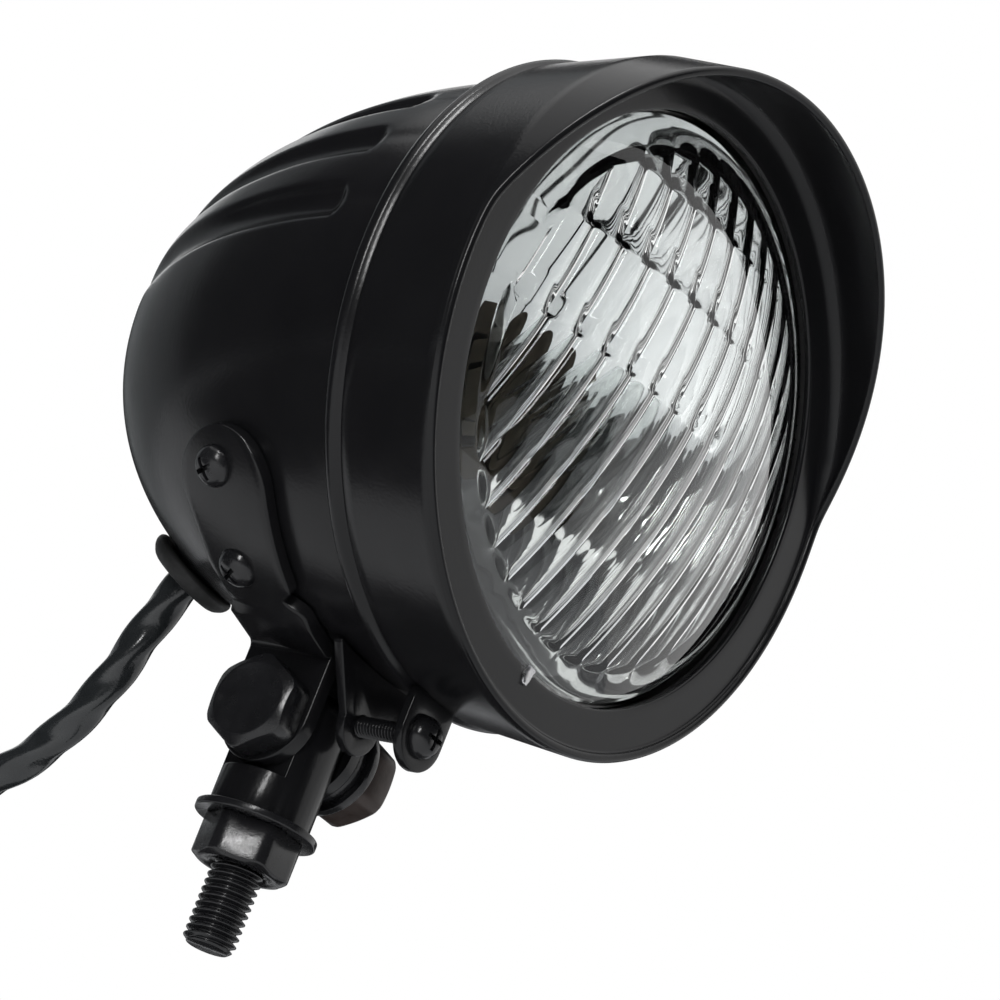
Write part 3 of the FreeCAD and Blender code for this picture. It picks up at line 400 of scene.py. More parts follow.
def add_world():
    """White where the camera, gloss and glass look, and a softer grey as light on matt surfaces."""
    world = bpy.data.worlds.new("studio")
    bpy.context.scene.world = world
    world.use_nodes = True
    tree = world.node_tree
    tree.nodes.clear()
    path = node_of(tree, "ShaderNodeLightPath")
    seen = node_of(tree, "ShaderNodeMath", operation="MAXIMUM")
    either = node_of(tree, "ShaderNodeMath", operation="MAXIMUM")
    soft = node_of(tree, "ShaderNodeBackground")
    soft.inputs["Color"].default_value = (0.8, 0.82, 0.85, 1)
    soft.inputs["Strength"].default_value = 0.85
    white = node_of(tree, "ShaderNodeBackground")
    white.inputs["Color"].default_value = (1, 1, 1, 1)
    white.inputs["Strength"].default_value = 1.0
    mix = node_of(tree, "ShaderNodeMixShader")
    out = node_of(tree, "ShaderNodeOutputWorld")
    tree.links.new(path.outputs["Is Camera Ray"], seen.inputs[0])
    tree.links.new(path.outputs["Is Glossy Ray"], seen.inputs[1])
    tree.links.new(seen.outputs[0], either.inputs[0])
    tree.links.new(path.outputs["Is Transmission Ray"], either.inputs[1])
    tree.links.new(either.outputs[0], mix.inputs[0])
    tree.links.new(soft.outputs[0], mix.inputs[1])
    tree.links.new(white.outputs[0], mix.inputs[2])
    tree.links.new(mix.outputs[0], out.inputs[0])


def level_sheet(name, low, high, level):
    """Flat rectangle between two corners at one height, in mm."""
    corners = [(low[0], low[1], level), (high[0], low[1], level),
               (high[0], high[1], level), (low[0], high[1], level)]
    return mesh_piece(name, corners, [(0, 1, 2, 3)])


def add_floor():
    floor = level_sheet("floor", (-FLOOR_HALF, -FLOOR_HALF), (FLOOR_HALF, FLOOR_HALF), FLOOR_LEVEL)
    floor.data.materials.append(surface("pale_floor", ((0.8, 0.8, 0.8), (0.84, 0.84, 0.84)), (0.7, 0.8), 3,
                                        Specular_IOR_Level=0.0))


def only_in_reflections(piece, cloth):
    """Stage piece that shows in gloss and glass, and neither to the camera nor as shade."""
    piece.data.materials.append(cloth)
    piece.visible_camera = False
    piece.visible_diffuse = False
    piece.visible_shadow = False


def add_drape(name, first, last, cloth):
    """Cloth that hangs round the lamp between two bearings in degrees, 0 in front and 90 on the right."""
    columns = 48
    points = []
    for height in (FLOOR_LEVEL, DRAPE_TOP):
        for column in range(columns):
            turn = math.radians(first + (last - first) * column / (columns - 1))
            points.append((DRAPE_REACH * math.sin(turn), -DRAPE_REACH * math.cos(turn), height))
    only_in_reflections(mesh_piece(name, points, grid_faces(2, columns, wrap=False)), cloth)


def add_mat(name, low, high):
    """Dark mat on the floor between two corners."""
    only_in_reflections(level_sheet(name, low, high, FLOOR_LEVEL + MAT_LIFT), drape_cloth)


add_camera()
add_world()
add_floor()
add_drape("left_drape", -172, 32, drape_cloth)
add_drape("rear_drape", 95, 146, drape_cloth)
add_drape("rear_screen", 146, 188, screen_cloth)
add_mat("mat", (60, -60), (900, 900))
add_mat("left_mat", (-1700, 300), (-200, 1900))
add_softbox("key", (-1.45, -0.55, 0.65), (0.12, 0.75), 14)
add_softbox("high_key", (-0.75, -0.25, 1.5), (0.12, 0.8), 13)
add_softbox("top", (-0.2, -0.1, 1.7), (1.1, 1.1), 3.5)
add_softbox("rear", (0.9, 1.3, 0.9), (0.9, 0.5), 1.5)


# Harness: one NURBS line through the route, the tied turn and the tail, and a twisted sleeve along it.
def cord_line():
    """Points in metres along the harness's spline."""
    points = [Vector(point) for point in CORD_ROUTE]
    entry = points[-1]
    centre = entry + Vector((0, COIL_RADIUS, 0))
    for step in range(1, COIL_POINTS + 1):
        turn = 2 * math.pi * step / COIL_POINTS
        around = Vector((0, -math.cos(turn), -math.sin(turn))) * COIL_RADIUS
        points.append(centre + around + Vector((COIL_PITCH * step / COIL_POINTS, 0, 0)))
    points += [points[-1] - Vector((0, 0, drop)) for drop in TAIL_STEPS]
    curve = bpy.data.curves.new("harness_line", "CURVE")
    curve.dimensions = "3D"
    spline = curve.splines.new("NURBS")
    spline.points.add(len(points) - 1)
    for slot, point in zip(spline.points, points):
        slot.co = (*(point * MM), 1)
    spline.order_u = 3
    spline.use_endpoint_u = True
    spline.resolution_u = 12
    line = bpy.data.objects.new("harness_line", curve)
    bpy.context.collection.objects.link(line)
    bpy.context.view_layer.update()
    mesh = bpy.data.meshes.new_from_object(line)
    path = [vertex.co.copy() for vertex in mesh.vertices]
    bpy.data.objects.remove(line)
    return path


def sleeve_tube(name, path):
    """Sleeve over three twisted wires: a soft three-lobed section that turns along the path."""
    columns = 36
    radius = CORD_DIAMETER / 2 * MM
    points = []
    side = RIGHT
    travelled = 0.0
    for index, place in enumerate(path):
        before = path[max(index - 1, 0)]
        after = path[min(index + 1, len(path) - 1)]
        along = (after - before).normalized()
        side = (side - along * side.dot(along)).normalized()
        other = along.cross(side)
        if index:
            travelled += (place - before).length
        twist = 2 * math.pi * travelled / (CORD_LAY * MM)
        for column in range(columns):
            angle = 2 * math.pi * column / columns
            lobe = math.cos(CORD_LOBES * (angle - twist))
            reach = radius * (1 - CORD_SWELL + CORD_SWELL * lobe)
            points.append((place + side * (reach * math.cos(angle)) + other * (reach * math.sin(angle))) / MM)
    faces = grid_faces(len(path), columns) + end_caps(len(path), columns)
    return mesh_piece(name, points, faces, sharp=60)


cord_path = cord_line()
harness = sleeve_tube("harness_cord", cord_path)


# Trim ring with its bead, band, flat front and visor, and the clamp ear below.
def visor_reach(angle):
    """How far the visor stands forward at an angle: a bowed slope, eased into the hem below."""
    height = (RING_FRONT - VISOR_INSET) * math.cos(angle) - VISOR_FOOT
    rise = VISOR_RISE * height - VISOR_BOW * height * height
    blend = rise - HEM_HEIGHT
    return min(VISOR_REACH, (rise + HEM_HEIGHT + math.sqrt(blend * blend + VISOR_EASE ** 2)) / 2)


def between(start, end, count):
    """Points from start up to, but without, end."""
    return [(start[0] + (end[0] - start[0]) * k / count, start[1] + (end[1] - start[1]) * k / count)
            for k in range(count)]


def arc(centre, radius, first, last, count):
    """Points of an arc by angle in degrees, 0 to the rear and 90 outwards."""
    turns = [math.radians(first + (last - first) * k / (count - 1)) for k in range(count)]
    return [(centre[0] + radius * math.cos(turn), centre[1] + radius * math.sin(turn)) for turn in turns]


def ring_section(angle):
    """Closed section of the ring at an angle, as (setback, radius), from the bead round the outside."""
    reach = visor_reach(angle)
    hem = VISOR_WALL / 2
    front = RING_FRONT - VISOR_INSET * reach / VISOR_REACH
    fillet = min(VISOR_FILLET, VISOR_FILLET_SHARE * reach)
    wall_foot = RING_FRONT - VISOR_WALL
    section = arc((BEAD_SETBACK, BEAD_CENTRE), BEAD_RADIUS, -90, 140, 20)
    section += [(BEAD_SETBACK - CREASE_GAP, BAND_REAR - CREASE_DEPTH)]
    section += between((BEAD_SETBACK - BAND_GAP, BAND_REAR), (0, RING_FRONT), 10)
    section += between((0, RING_FRONT), (hem - reach, front), 14)
    section += arc((hem - reach, front - hem), hem, 90, 270, 11)
    section += between((hem - reach - 0.01, front - VISOR_WALL), (-fillet, wall_foot), 10)[1:]
    section += arc((-fillet, wall_foot - fillet), fillet, 90, 0, 7)
    section += between((0, wall_foot - fillet - 0.05), (0, RING_OPENING + RING_ROUND), 5)
    section += arc((RING_ROUND, RING_OPENING + RING_ROUND), RING_ROUND, 180, 270, 5)
    section += [(RING_WALL, RING_OPENING + 0.05), (RING_WALL, RING_OPENING + 2)]
    inner_end = (BEAD_SETBACK - INNER_GAP, BAND_REAR - RING_WALL)
    section += between((RING_WALL, wall_foot - RING_ROUND), inner_end, 5)
    return section


def ear_points(depth):
    """Ring of the clamp ear's outer edge and of its hole, at one depth."""
    columns = 48
    top = CLAMP_DROP - BAND_REAR + EAR_ROOT
    outer = []
    inner = []
    for column in range(columns):
        angle = 2 * math.pi * column / columns
        across, down = math.cos(angle), math.sin(angle)
        reach = EAR_RADIUS
        if down < 0:
            reach = min(EAR_RADIUS / max(abs(across), 0.001), top / -down)
        for ring, size in ((outer, reach), (inner, EAR_HOLE)):
            ring.append(LENS_CENTRE + Vector((across * size, depth, -CLAMP_DROP - down * size)))
    return outer, inner


def add_trim_ring():
    columns = 288
    points = []
    sections = [ring_section(2 * math.pi * column / columns) for column in range(columns)]
    rows = len(sections[0])
    for row in range(rows):
        for column in range(columns):
            setback, radius = sections[column][row]
            points.append(light_point(setback, radius, 2 * math.pi * column / columns))
    faces = grid_faces(rows, columns) + ring_bridge((rows - 1) * columns, 0, columns)
    start = len(points)
    outer_front, inner_front = ear_points(EAR_SETBACK)
    outer_rear, inner_rear = ear_points(EAR_SETBACK + EAR_WALL)
    middle = LENS_CENTRE + Vector((0, 0, -CLAMP_DROP))

    def pulled(ring, inwards, shift):
        drawn = []
        for point in ring:
            arm = point - middle
            arm.y = 0
            drawn.append(point - arm.normalized() * inwards + REARWARD * shift)
        return drawn

    loops = [
        pulled(inner_front, -EAR_BEVEL, 0),
        pulled(outer_front, EAR_BEVEL, 0),
        pulled(outer_front, EAR_CORNER, EAR_CORNER),
        pulled(outer_front, 0, EAR_BEVEL),
        pulled(outer_rear, 0, -EAR_BEVEL),
        pulled(outer_rear, EAR_CORNER, -EAR_CORNER),
        pulled(outer_rear, EAR_BEVEL, 0),
        pulled(inner_rear, -EAR_BEVEL, 0),
        pulled(inner_rear, 0, -EAR_BEVEL),
        pulled(inner_front, 0, EAR_BEVEL),
    ]
    count = len(loops[0])
    for loop in loops:
        points += loop
    faces += grid_faces(len(loops), count, start)
    faces += ring_bridge(start + (len(loops) - 1) * count, start, count)
    return outward(mesh_piece("trim_ring_dressed", points, faces, sharp=50))


dress(add_trim_ring(), "head", "satin_black_paint", paint, "trim_ring")


# Shell: lip and half ellipsoid with grooves that fade to the rear, and its plain inside.
def groove_cut(angle, station):
    """Depth of the pressed grooves at a place on the shell, with softened edges."""
    step = round(angle / GROOVE_PITCH)
    if abs(step) > (GROOVES - 1) / 2:
        return 0.0
    depth = GROOVE_DEPTH * smooth_step(GROOVE_FRONT + GROOVE_RAMP[0], GROOVE_FRONT + GROOVE_RAMP[1], station)
    depth *= 1 - smooth_step(GROOVE_REAR - GROOVE_FADE, GROOVE_REAR, station)
    radius = SHELL_RADIUS * math.sqrt(max(0.0, 1 - (station / SHELL_DEPTH) ** 2))
    aside = (angle - step * GROOVE_PITCH) * radius
    if abs(aside) >= GROOVE_TOOL:
        return 0.0
    sunk = math.sqrt(GROOVE_TOOL ** 2 - aside ** 2) - GROOVE_TOOL + depth
    return 0.5 * (sunk + math.sqrt(sunk * sunk + GROOVE_EDGE ** 2))


def add_shell():
    columns, outer_steps, inner_steps = 480, 120, 24
    outer_rows = [LIP_TRIM - SHELL_LIP, 6 * LIP_TRIM - SHELL_LIP, 0.0]
    outer_rows += [SHELL_DEPTH * math.sin(math.pi / 2 * k / outer_steps) for k in range(1, outer_steps)]
    points = []
    for station in outer_rows:
        radius = SHELL_RADIUS * math.sqrt(1 - (max(station, 0) / SHELL_DEPTH) ** 2)
        for column in range(columns):
            angle = 2 * math.pi * column / columns
            signed = angle if angle <= math.pi else angle - 2 * math.pi
            points.append(shell_point(station, radius - groove_cut(signed, station), angle))
    rows = len(outer_rows)
    faces = grid_faces(rows, columns) + ring_fan((rows - 1) * columns, columns, len(points))
    points.append(shell_point(SHELL_DEPTH, 0, 0))
    start = len(points)
    inside = SHELL_RADIUS - SHELL_WALL
    inner_depth = SHELL_DEPTH - SHELL_WALL
    inner_rows = [LIP_TRIM - SHELL_LIP, 0.0]
    inner_rows += [inner_depth * math.sin(math.pi / 2 * k / inner_steps) for k in range(1, inner_steps)]
    for station in inner_rows:
        radius = inside * math.sqrt(1 - (max(station, 0) / inner_depth) ** 2)
        for column in range(columns):
            points.append(shell_point(station, radius, 2 * math.pi * column / columns))
    faces += grid_faces(len(inner_rows), columns, start)
    faces += ring_fan(len(points) - columns, columns, len(points))
    points.append(shell_point(inner_depth, 0, 0))
    faces += ring_bridge(0, start, columns)
    return outward(mesh_piece("shell_dressed", points, faces, sharp=60))


dress(add_shell(), "head", "satin_black_paint", paint, "shell")


# Lens: smooth dome in front, leaning flutes and prism rows inside, and a clear rim.
def prism_cut(height, aside):
    """Depth of the prism rows: each deepens with height, and its foot rises in an arch across the flute."""
    riser = PRISM_FOOT + PRISM_RISER * (1 - (2 * aside / FLUTE_PITCH) ** 2)
    for row, (low, high, depth) in enumerate(PRISM_ROWS):
        if low <= height < high:
            below = PRISM_ROWS[row + 1][2] if row + 1 < len(PRISM_ROWS) else 0.0
            share = min(1.0, (height - low) / riser)
            return below * (1 - share) + depth * (height - low) / (high - low) * share
    return 0.0


def inner_setback(across, height, column):
    """Setback of the lens inside: a round cap, less the flute and the prism row cut into it."""
    radius = math.hypot(across, height)
    cap = INNER_TOP + INNER_BEND - math.sqrt(INNER_BEND ** 2 - radius ** 2)
    aside = (column / FLUTE_PITCH - round(column / FLUTE_PITCH)) * FLUTE_PITCH
    flute = max(0.0, math.sqrt(FLUTE_TOOL ** 2 - aside ** 2) - FLUTE_TOOL + FLUTE_DEPTH)
    prism = prism_cut(height, aside) * (1 - PRISM_LOSS * smooth_step(*PRISM_FADE, across))
    fade = 1 - smooth_step(FLUTED_RADIUS - FLUTE_FADE, FLUTED_RADIUS, radius)
    return cap - (flute + prism) * fade


def chord_end(column, upward):
    """Height where a leaning flute line meets the fluted circle."""
    low, high, halvings = 0.0, FLUTED_RADIUS, 40
    for _ in range(halvings):
        middle = (low + high) / 2
        height = middle if upward else -middle
        if math.hypot(column + FLUTE_LEAN * height, height) < FLUTED_RADIUS:
            low = middle
        else:
            high = middle
    return low if upward else -low


def add_lens():
    per_flute = 12
    half = int((FLUTED_RADIUS - FLUTE_MARGIN) / FLUTE_PITCH * per_flute)
    lines = [FLUTE_PITCH * k / per_flute for k in range(-half, half + 1)]
    rows = 221
    points = []
    for line in lines:
        bottom, top = chord_end(line, False), chord_end(line, True)
        for row in range(rows):
            height = bottom + (top - bottom) * row / (rows - 1)
            across = line + FLUTE_LEAN * height
            points.append(LENS_CENTRE + Vector((across, inner_setback(across, height, line), height)))
    faces = grid_faces(len(lines), rows, wrap=False)
    last = (len(lines) - 1) * rows
    edge = [k * rows for k in range(len(lines))]
    edge += [last + k for k in range(1, rows)]
    edge += [k * rows + rows - 1 for k in range(len(lines) - 2, -1, -1)]
    edge += list(range(rows - 2, 0, -1))
    turns = [math.atan2(points[k].x, points[k].z - LENS_CENTRE.z) for k in edge]
    rings = [(RIM_REAR - RIM_CHAMFER[0], INNER_FOOT - RIM_CHAMFER[1]), (RIM_REAR, INNER_FOOT),
             (RIM_REAR, LENS_RADIUS), (RIM_FRONT, LENS_RADIUS), (RIM_FRONT, DOME_FOOT + RIM_STEP)]
    dome_rows = 34
    for k in range(dome_rows):
        radius = DOME_FOOT * (1 - k / dome_rows)
        rings.append((DOME_TOP + DOME_BEND - math.sqrt(DOME_BEND ** 2 - radius ** 2), radius))
    start = len(points)
    count = len(edge)
    for setback, radius in rings:
        points += [light_point(setback, radius, turn) for turn in turns]
    for column in range(count):
        after = (column + 1) % count
        faces.append((edge[column], edge[after], start + after, start + column))
    faces += grid_faces(len(rings), count, start)
    faces += ring_fan(len(points) - count, count, len(points))
    points.append(light_point(DOME_TOP, 0, 0))
    return outward(mesh_piece("lens_dressed", points, faces, sharp=28))


dress(add_lens(), "head", "clear_glass", glass, "lens")


# End of one lens clip, folded out over the ring's front below the glass.
def add_clip_end():
    """Tongue through stations of (radius, half width, lift), its front edges broken."""
    edge = ((0.0, 1.0), (-CLIP_BREAK[0] * CLIP_WALL, 1.0), (-CLIP_WALL, CLIP_BREAK[1]))
    points = []
    for radius, half, lift in CLIP_STATIONS:
        for side, profile in ((-1, edge), (1, edge[::-1])):
            for depth, share in profile:
                points.append(light_point(depth - lift, radius, CLIP_ANGLE + side * half * share / radius))
    rows, columns = len(CLIP_STATIONS), 2 * len(edge)
    faces = grid_faces(rows, columns) + end_caps(rows, columns)
    return outward(mesh_piece("clip_end", points, faces, sharp=40))


dress(add_clip_end(), "head", "spring_steel", spring)


# Reflector: a smooth deep bowl with a flange at the lens and a collar at the bulb.
def add_reflector():
    columns = 192
    bowl_steps = 60
    four_focal = (REFLECTOR_RIM ** 2 - REFLECTOR_NECK ** 2) / REFLECTOR_DEPTH
    section = [(RIM_REAR, LENS_RADIUS), (RIM_REAR, REFLECTOR_RIM + REFLECTOR_STEP)]
    bowl = []
    for k in range(bowl_steps + 1):
        radius = REFLECTOR_RIM + (REFLECTOR_NECK - REFLECTOR_RIM) * k / bowl_steps
        bowl.append((RIM_REAR + (REFLECTOR_RIM ** 2 - radius ** 2) / four_focal, radius))
    neck = RIM_REAR + REFLECTOR_DEPTH + REFLECTOR_COLLAR
    section += bowl + [(neck, REFLECTOR_NECK), (neck, REFLECTOR_NECK + REFLECTOR_WALL)]
    back, out = REFLECTOR_SKIN
    section += [(setback + back, radius + out) for setback, radius in reversed(bowl[:-1:4])]
    section += [(RIM_REAR + REFLECTOR_WALL, LENS_RADIUS)]
    points = []
    for setback, radius in section:
        points += [light_point(setback, radius, 2 * math.pi * k / columns) for k in range(columns)]
    faces = grid_faces(len(section), columns) + ring_bridge((len(section) - 1) * columns, 0, columns)
    return outward(mesh_piece("reflector_dressed", points, faces, sharp=40))


dress(add_reflector(), "head", "mirror_coat", mirror, "reflector")


# Hardware: the same solids with softened edges, and cut threads where they show.
def softened(node, width, keep=None):
    """Copy of a CAD node's mesh with its edges rounded; keep says by a place in mm which vertices stay."""
    piece = bpy.data.objects.new(node + "_dressed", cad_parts[node].data.copy())
    bpy.context.collection.objects.link(piece)
    mesh = bmesh.new()
    mesh.from_mesh(piece.data)
    bmesh.ops.remove_doubles(mesh, verts=mesh.verts, dist=MERGE_DISTANCE)
    if keep:
        bmesh.ops.delete(mesh, geom=[v for v in mesh.verts if not keep(v.co / MM)], context="VERTS")
    bmesh.ops.dissolve_limit(mesh, angle_limit=FLAT_ANGLE, verts=mesh.verts, edges=mesh.edges)
    mesh.to_mesh(piece.data)
    mesh.free()
    piece.data.shade_smooth()
    bevel = piece.modifiers.new("edges", "BEVEL")
    bevel.width = width * MM
    bevel.segments = 3
    bevel.limit_method = "ANGLE"
    bevel.angle_limit = EDGE_ANGLE
    bevel.harden_normals = True
    return piece


def thread_mesh(name, foot, way, length, thread, chamfer):
    """Screw thread along a way from a foot point, all in mm."""
    columns = 48
    per_turn = 14
    major, pitch = thread
    depth = THREAD_DEPTH * pitch
    rows = int(length / pitch * per_turn) + 1
    side = way.orthogonal().normalized()
    other = way.cross(side)
    points = []
    for row in range(rows):
        along = length * row / (rows - 1)
        for column in range(columns):
            share = (along / pitch - column / columns) % 1.0
            slope = min(1.0, max(0.0, abs(2 * share - 1) * THREAD_SLOPE[0] - THREAD_SLOPE[1]))
            radius = major - depth * slope
            radius = min(radius, major - chamfer + min(along, length - along))
            angle = 2 * math.pi * column / columns
            arm = side * (radius * math.cos(angle)) + other * (radius * math.sin(angle))
            points.append(foot + way * along + arm)
    faces = grid_faces(rows, columns) + end_caps(rows, columns)
    return outward(mesh_piece(name, points, faces, sharp=70))


def hex_body(name, foot, way, corner, length, face, dish):
    """Hexagon with softened corners, chamfered to a round face at its far end, where it is dished."""
    columns = 96
    other = way.cross(corner)
    edge = HEX_EDGE
    dish_radius, dish_depth = dish
    sections = []
    for column in range(columns):
        angle = 2 * math.pi * column / columns
        reach = min(HEX_FLATS / 2 / math.cos(angle % (math.pi / 3) - math.pi / 6), HEX_ROUND)
        shoulder = length - HEX_SLOPE * (reach - face)
        sections.append([
            (0, reach - edge), (edge, reach),
            (shoulder - 2 * edge, reach), (shoulder - edge / 2, reach - edge / 6), (shoulder, reach - edge),
            (length - edge / 2, face + edge), (length, face - edge / 2),
            (length, dish_radius + edge), (length - dish_depth, dish_radius - edge),
        ])
    rows = len(sections[0])
    points = []
    for row in range(rows):
        for column in range(columns):
            along, radius = sections[column][row]
            angle = 2 * math.pi * column / columns
            arm = corner * (radius * math.cos(angle)) + other * (radius * math.sin(angle))
            points.append(foot + way * along + arm)
    faces = grid_faces(rows, columns) + end_caps(rows, columns)
    return outward(mesh_piece(name, points, faces, sharp=60))


def shell_height(across, along):
    """Height of the shell's underside over a point."""
    station = (along - SHELL_CENTRE.y) / math.cos(SHELL_DROOP)
    radius = SHELL_RADIUS * math.sqrt(1 - (station / SHELL_DEPTH) ** 2)
    return SHELL_CENTRE.z - station * math.sin(SHELL_DROOP) - math.sqrt(radius ** 2 - across ** 2)


def pad_place(angle, along):
    """Point on the shell's side by angle from below and place along Y."""
    station = (along - SHELL_CENTRE.y) / math.cos(SHELL_DROOP)
    radius = SHELL_RADIUS * math.sqrt(1 - (station / SHELL_DEPTH) ** 2)
    axis = SHELL_CENTRE.z - station * math.sin(SHELL_DROOP)
    return Vector((-radius * math.sin(angle), along, axis - radius * math.cos(angle)))


def strap_rows():
    """Rows down the left strap: (inner point's place by its Y, outward way, front edge, rear edge, wall)."""
    end_steps, pad_steps, leg_steps = 12, 30, 8
    rows = []
    pad_radius = SHELL_RADIUS * math.sqrt(1 - (PAD_STATION / SHELL_DEPTH) ** 2)
    leg_angle = math.asin(LEG_REACH / pad_radius)
    pad_length = (PAD_TOP - leg_angle) * pad_radius
    first, last = PAD_END_SWEEP
    sweeps = [math.radians(first + (last - first) * k / (end_steps - 1)) for k in range(end_steps)]
    runs = [PAD_HALF * (1 - math.cos(sweep)) for sweep in sweeps]
    runs += [PAD_HALF + (pad_length - PAD_HALF) * k / pad_steps for k in range(1, pad_steps + 1)]
    for run in runs:
        angle = PAD_TOP - run / pad_radius
        half = math.sqrt(PAD_HALF ** 2 - max(0.0, PAD_HALF - run) ** 2)
        notch = NOTCH_DEPTH * math.exp(-((run - NOTCH_PLACE) / NOTCH_WIDTH) ** 2)
        taper = PAD_TAPER * smooth_step(*PAD_TAPER_RUN, run)
        ease = smooth_step(pad_length - PAD_EASE, pad_length, run)
        front = (PAD_MIDDLE - half) * (1 - ease) - STRAP_EAR * ease + notch
        narrow = smooth_step(PAD_NARROW_FROM, pad_length, run)
        rear = PAD_MIDDLE + half - taper - (PAD_MIDDLE + PAD_HALF - PAD_TAPER - STRAP_EAR) * narrow
        way = Vector((-math.sin(angle), 0, -math.cos(angle)))
        rows.append((lambda along, angle=angle: pad_place(angle, along), way, front, rear, STRAP_WALL))
    top = Vector((-LEG_REACH, 0, LEG_TOP))
    knee = Vector((-STRAP_EAR_IN, 0, LEG_END))
    heading = (knee - top).normalized()
    lean = math.atan2(-heading.z, heading.x)
    turning = math.pi / 2 - lean
    setback = LEG_BEND * math.tan(turning / 2)
    stretch = (knee - top).length - setback
    places = [(top + heading * (stretch * k / leg_steps), lean) for k in range(1, leg_steps + 1)]
    centre = places[-1][0] + Vector((-math.sin(lean), 0, -math.cos(lean))) * LEG_BEND
    for k in range(1, leg_steps + 1):
        turn = lean + turning * k / leg_steps
        places.append((centre + Vector((math.sin(turn), 0, math.cos(turn))) * LEG_BEND, turn))

    def leg_place(place):
        def under_shell(along):
            limit = shell_height(place.x, along) - STRAP_CLEARANCE
            return Vector((place.x, along, min(place.z, limit)))
        return under_shell

    for place, turn in places:
        way = Vector((-math.sin(turn), 0, -math.cos(turn)))
        rows.append((leg_place(place), way, -STRAP_EAR, STRAP_EAR, STRAP_EAR_WALL))
    ends = [(PIVOT_HEIGHT, STRAP_EAR)]
    for k in range(1, end_steps):
        sweep = STRAP_EAR_STEP * k
        ends.append((PIVOT_HEIGHT - STRAP_EAR * math.sin(sweep), STRAP_EAR * math.cos(sweep)))
    for height, half in ends:
        place = leg_place(Vector((-STRAP_EAR_IN, 0, height)))
        rows.append((place, LEFT, -half, half, STRAP_EAR_WALL))
    return rows


def add_strap(name, side):
    """Strap as one bent plate with rounded outer edges; side is -1 on the left and 1 on the right."""
    across = 12
    corner = 4
    points = []
    for place, way, front, rear, wall in strap_rows():
        edge = min(STRAP_EDGE, (rear - front) / 3)
        loop = [(front + (rear - front) * k / across, 0) for k in range(across + 1)]
        for k in range(corner):
            turn = math.pi / 2 * k / (corner - 1)
            loop.append((rear - edge + edge * math.cos(turn), wall - edge + edge * math.sin(turn)))
        loop += [(rear - edge - (rear - front - 2 * edge) * k / across, wall) for k in range(1, across)]
        for k in range(corner):
            turn = math.pi / 2 + math.pi / 2 * k / (corner - 1)
            loop.append((front + edge + edge * math.cos(turn), wall - edge + edge * math.sin(turn)))
        for along, out in loop:
            point = place(along) + way * out
            points.append(Vector((-side * point.x, point.y, point.z)))
    columns = 2 * across + 2 * corner
    rows = len(points) // columns
    faces = grid_faces(rows, columns) + end_caps(rows, columns)
    return outward(mesh_piece(name, points, faces, sharp=50))


def joined(first, second):
    """The first piece with the second's mesh added to it, its modifiers applied."""
    seen = bpy.context.evaluated_depsgraph_get()
    mesh = bmesh.new()
    mesh.from_mesh(bpy.data.meshes.new_from_object(first.evaluated_get(seen)))
    mesh.from_mesh(second.data)
    first.modifiers.clear()
    mesh.to_mesh(first.data)
    mesh.free()
    bpy.data.objects.remove(second)
    return first


stud_tip, stud_top = (corner[2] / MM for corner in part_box("mount_stud"))
stud = thread_mesh("mount_stud_dressed", Vector((0, 0, stud_tip)), UP,
                   stud_top - stud_tip, M10_THREAD, chamfer=1.0)
dress(stud, "mount", "black_steel", steel, "mount_stud")

screw_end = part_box("clamp_screw")[1][1] / MM
ear_face = LENS_CENTRE.y + EAR_SETBACK
screw = softened("clamp_screw", 0.2, keep=lambda place: place.y < ear_face + KEEP_MARGIN)
screw_foot = Vector((0, ear_face - THREAD_OVERLAP, LENS_CENTRE.z - CLAMP_DROP))
screw_thread = thread_mesh("clamp_screw_thread", screw_foot, REARWARD,
                           screw_end - screw_foot.y, M4_THREAD, chamfer=0.4)
dress(joined(screw, screw_thread), "head", "black_steel", steel, "clamp_screw")

bolt_tip, bolt_end = (corner[0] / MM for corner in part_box("pivot_bolt"))
bolt_seat = -STRAP_EAR_IN - STRAP_EAR_WALL
bolt = hex_body("pivot_bolt_dressed", Vector((bolt_seat, 0, PIVOT_HEIGHT)), LEFT, UP,
                bolt_seat - bolt_tip, BOLT_FACE, BOLT_DISH)
bolt_foot = Vector((bolt_seat - THREAD_OVERLAP, 0, PIVOT_HEIGHT))
bolt_thread = thread_mesh("pivot_bolt_thread", bolt_foot, RIGHT,
                          bolt_end - bolt_foot.x, M10_THREAD, chamfer=0.8)
dress(joined(bolt, bolt_thread), "head", "black_steel", steel, "pivot_bolt")

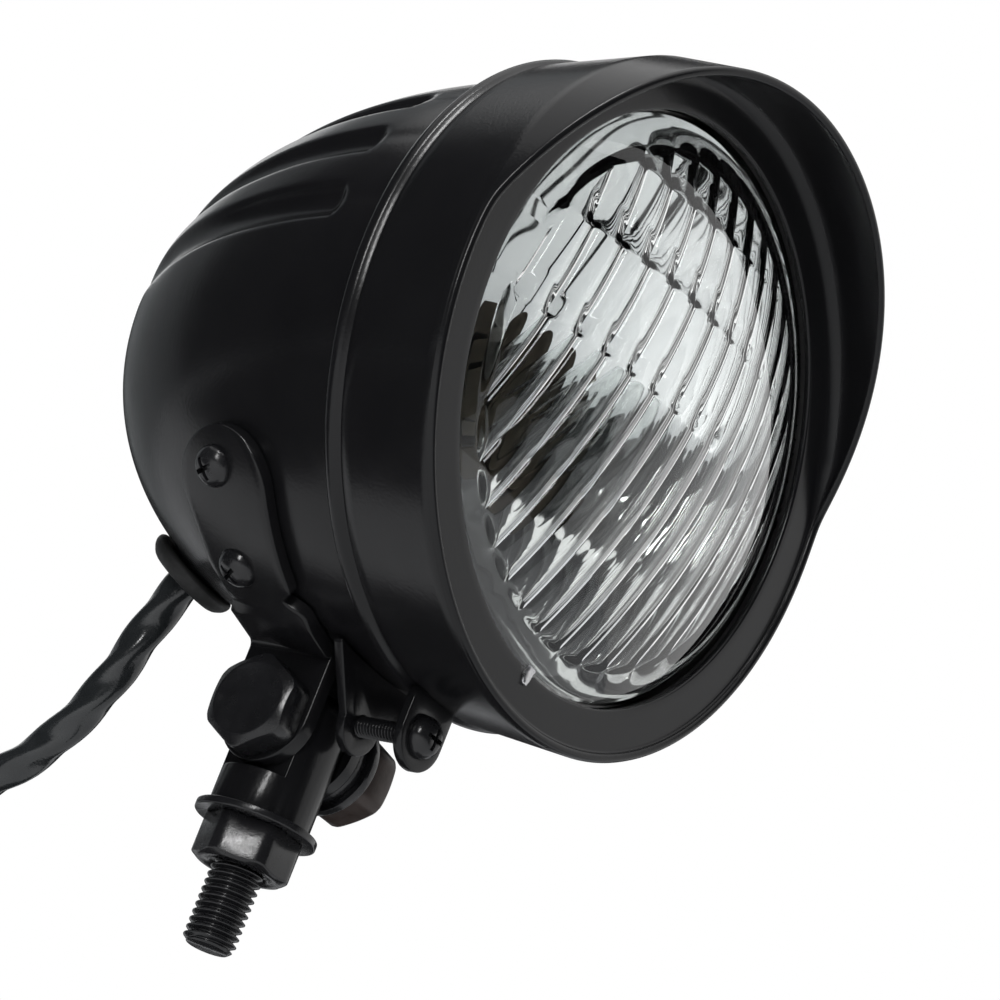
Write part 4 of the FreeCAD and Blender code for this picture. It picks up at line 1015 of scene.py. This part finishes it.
nut_foot, nut_top = (corner[2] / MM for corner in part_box("mount_nut"))
mount_nut = hex_body("mount_nut_dressed", Vector((0, 0, nut_top)), DOWN, RIGHT,
                     nut_top - nut_foot, NUT_FACE, NUT_DISH)
dress(mount_nut, "mount", "black_steel", steel, "mount_nut")

nut_seat, nut_end = (corner[0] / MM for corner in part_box("pivot_nut"))
pivot_nut = hex_body("pivot_nut_dressed", Vector((nut_seat, 0, PIVOT_HEIGHT)), RIGHT, UP,
                     nut_end - nut_seat, NUT_FACE, NUT_DISH)
dress(pivot_nut, "head", "bronzed_steel", bronze, "pivot_nut")

dress(add_strap("bracket_left_dressed", -1), "head", "satin_black_paint", paint, "bracket_left")
dress(add_strap("bracket_right_dressed", 1), "head", "satin_black_paint", paint, "bracket_right")

# The clamp tab spreads into a gusset where it meets the shell.
tab = softened("clamp_tab", 0.3)
for vertex in tab.data.vertices:
    if abs(vertex.co.x) > TAB_CORE * MM:
        share = smooth_step(*TAB_SPREAD_RUN, vertex.co.z / MM)
        vertex.co.x += math.copysign(TAB_SPREAD * MM, vertex.co.x) * share
dress(tab, "head", "satin_black_paint", paint, "clamp_tab")

for node, width, body, slot, look in (
        ("bracket_screws", 0.2, "head", "black_steel", steel),
        ("swivel_post", 0.5, "mount", "satin_black_paint", paint),
        ("mount_washer", 0.3, "mount", "black_steel", steel),
        ("pivot_spring_washer", 0.3, "head", "black_steel", steel),
        ("pivot_washer", 0.3, "head", "black_steel", steel),
        ("cable_grommet", 1.0, "head", "black_rubber", rubber),
        ("harness_tie", 0.3, "head", "tie_plastic", plastic),
        ("harness_plug", 0.6, "head", "socket_plastic", plastic)):
    dress(softened(node, width), body, slot, look, node)

# Inner pieces keep their solids.
for node, look in (("lens_gasket", rubber), ("lens_clips", spring), ("bulb_glass", glass),
                   ("bulb_filaments", spring), ("bulb_base", brass), ("bulb_terminals", brass),
                   ("bulb_clip", spring), ("dust_boot", rubber), ("bulb_socket", plastic),
                   ("inner_leads", sleeve), ("bracket_nuts", steel)):
    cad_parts[node].data.materials.clear()
    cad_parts[node].data.materials.append(look)

dress(harness, "head", "sleeve_rubber", sleeve, "harness_lead", "harness_coil", "harness_tail")

bpy.context.scene.view_settings.view_transform = "Standard"
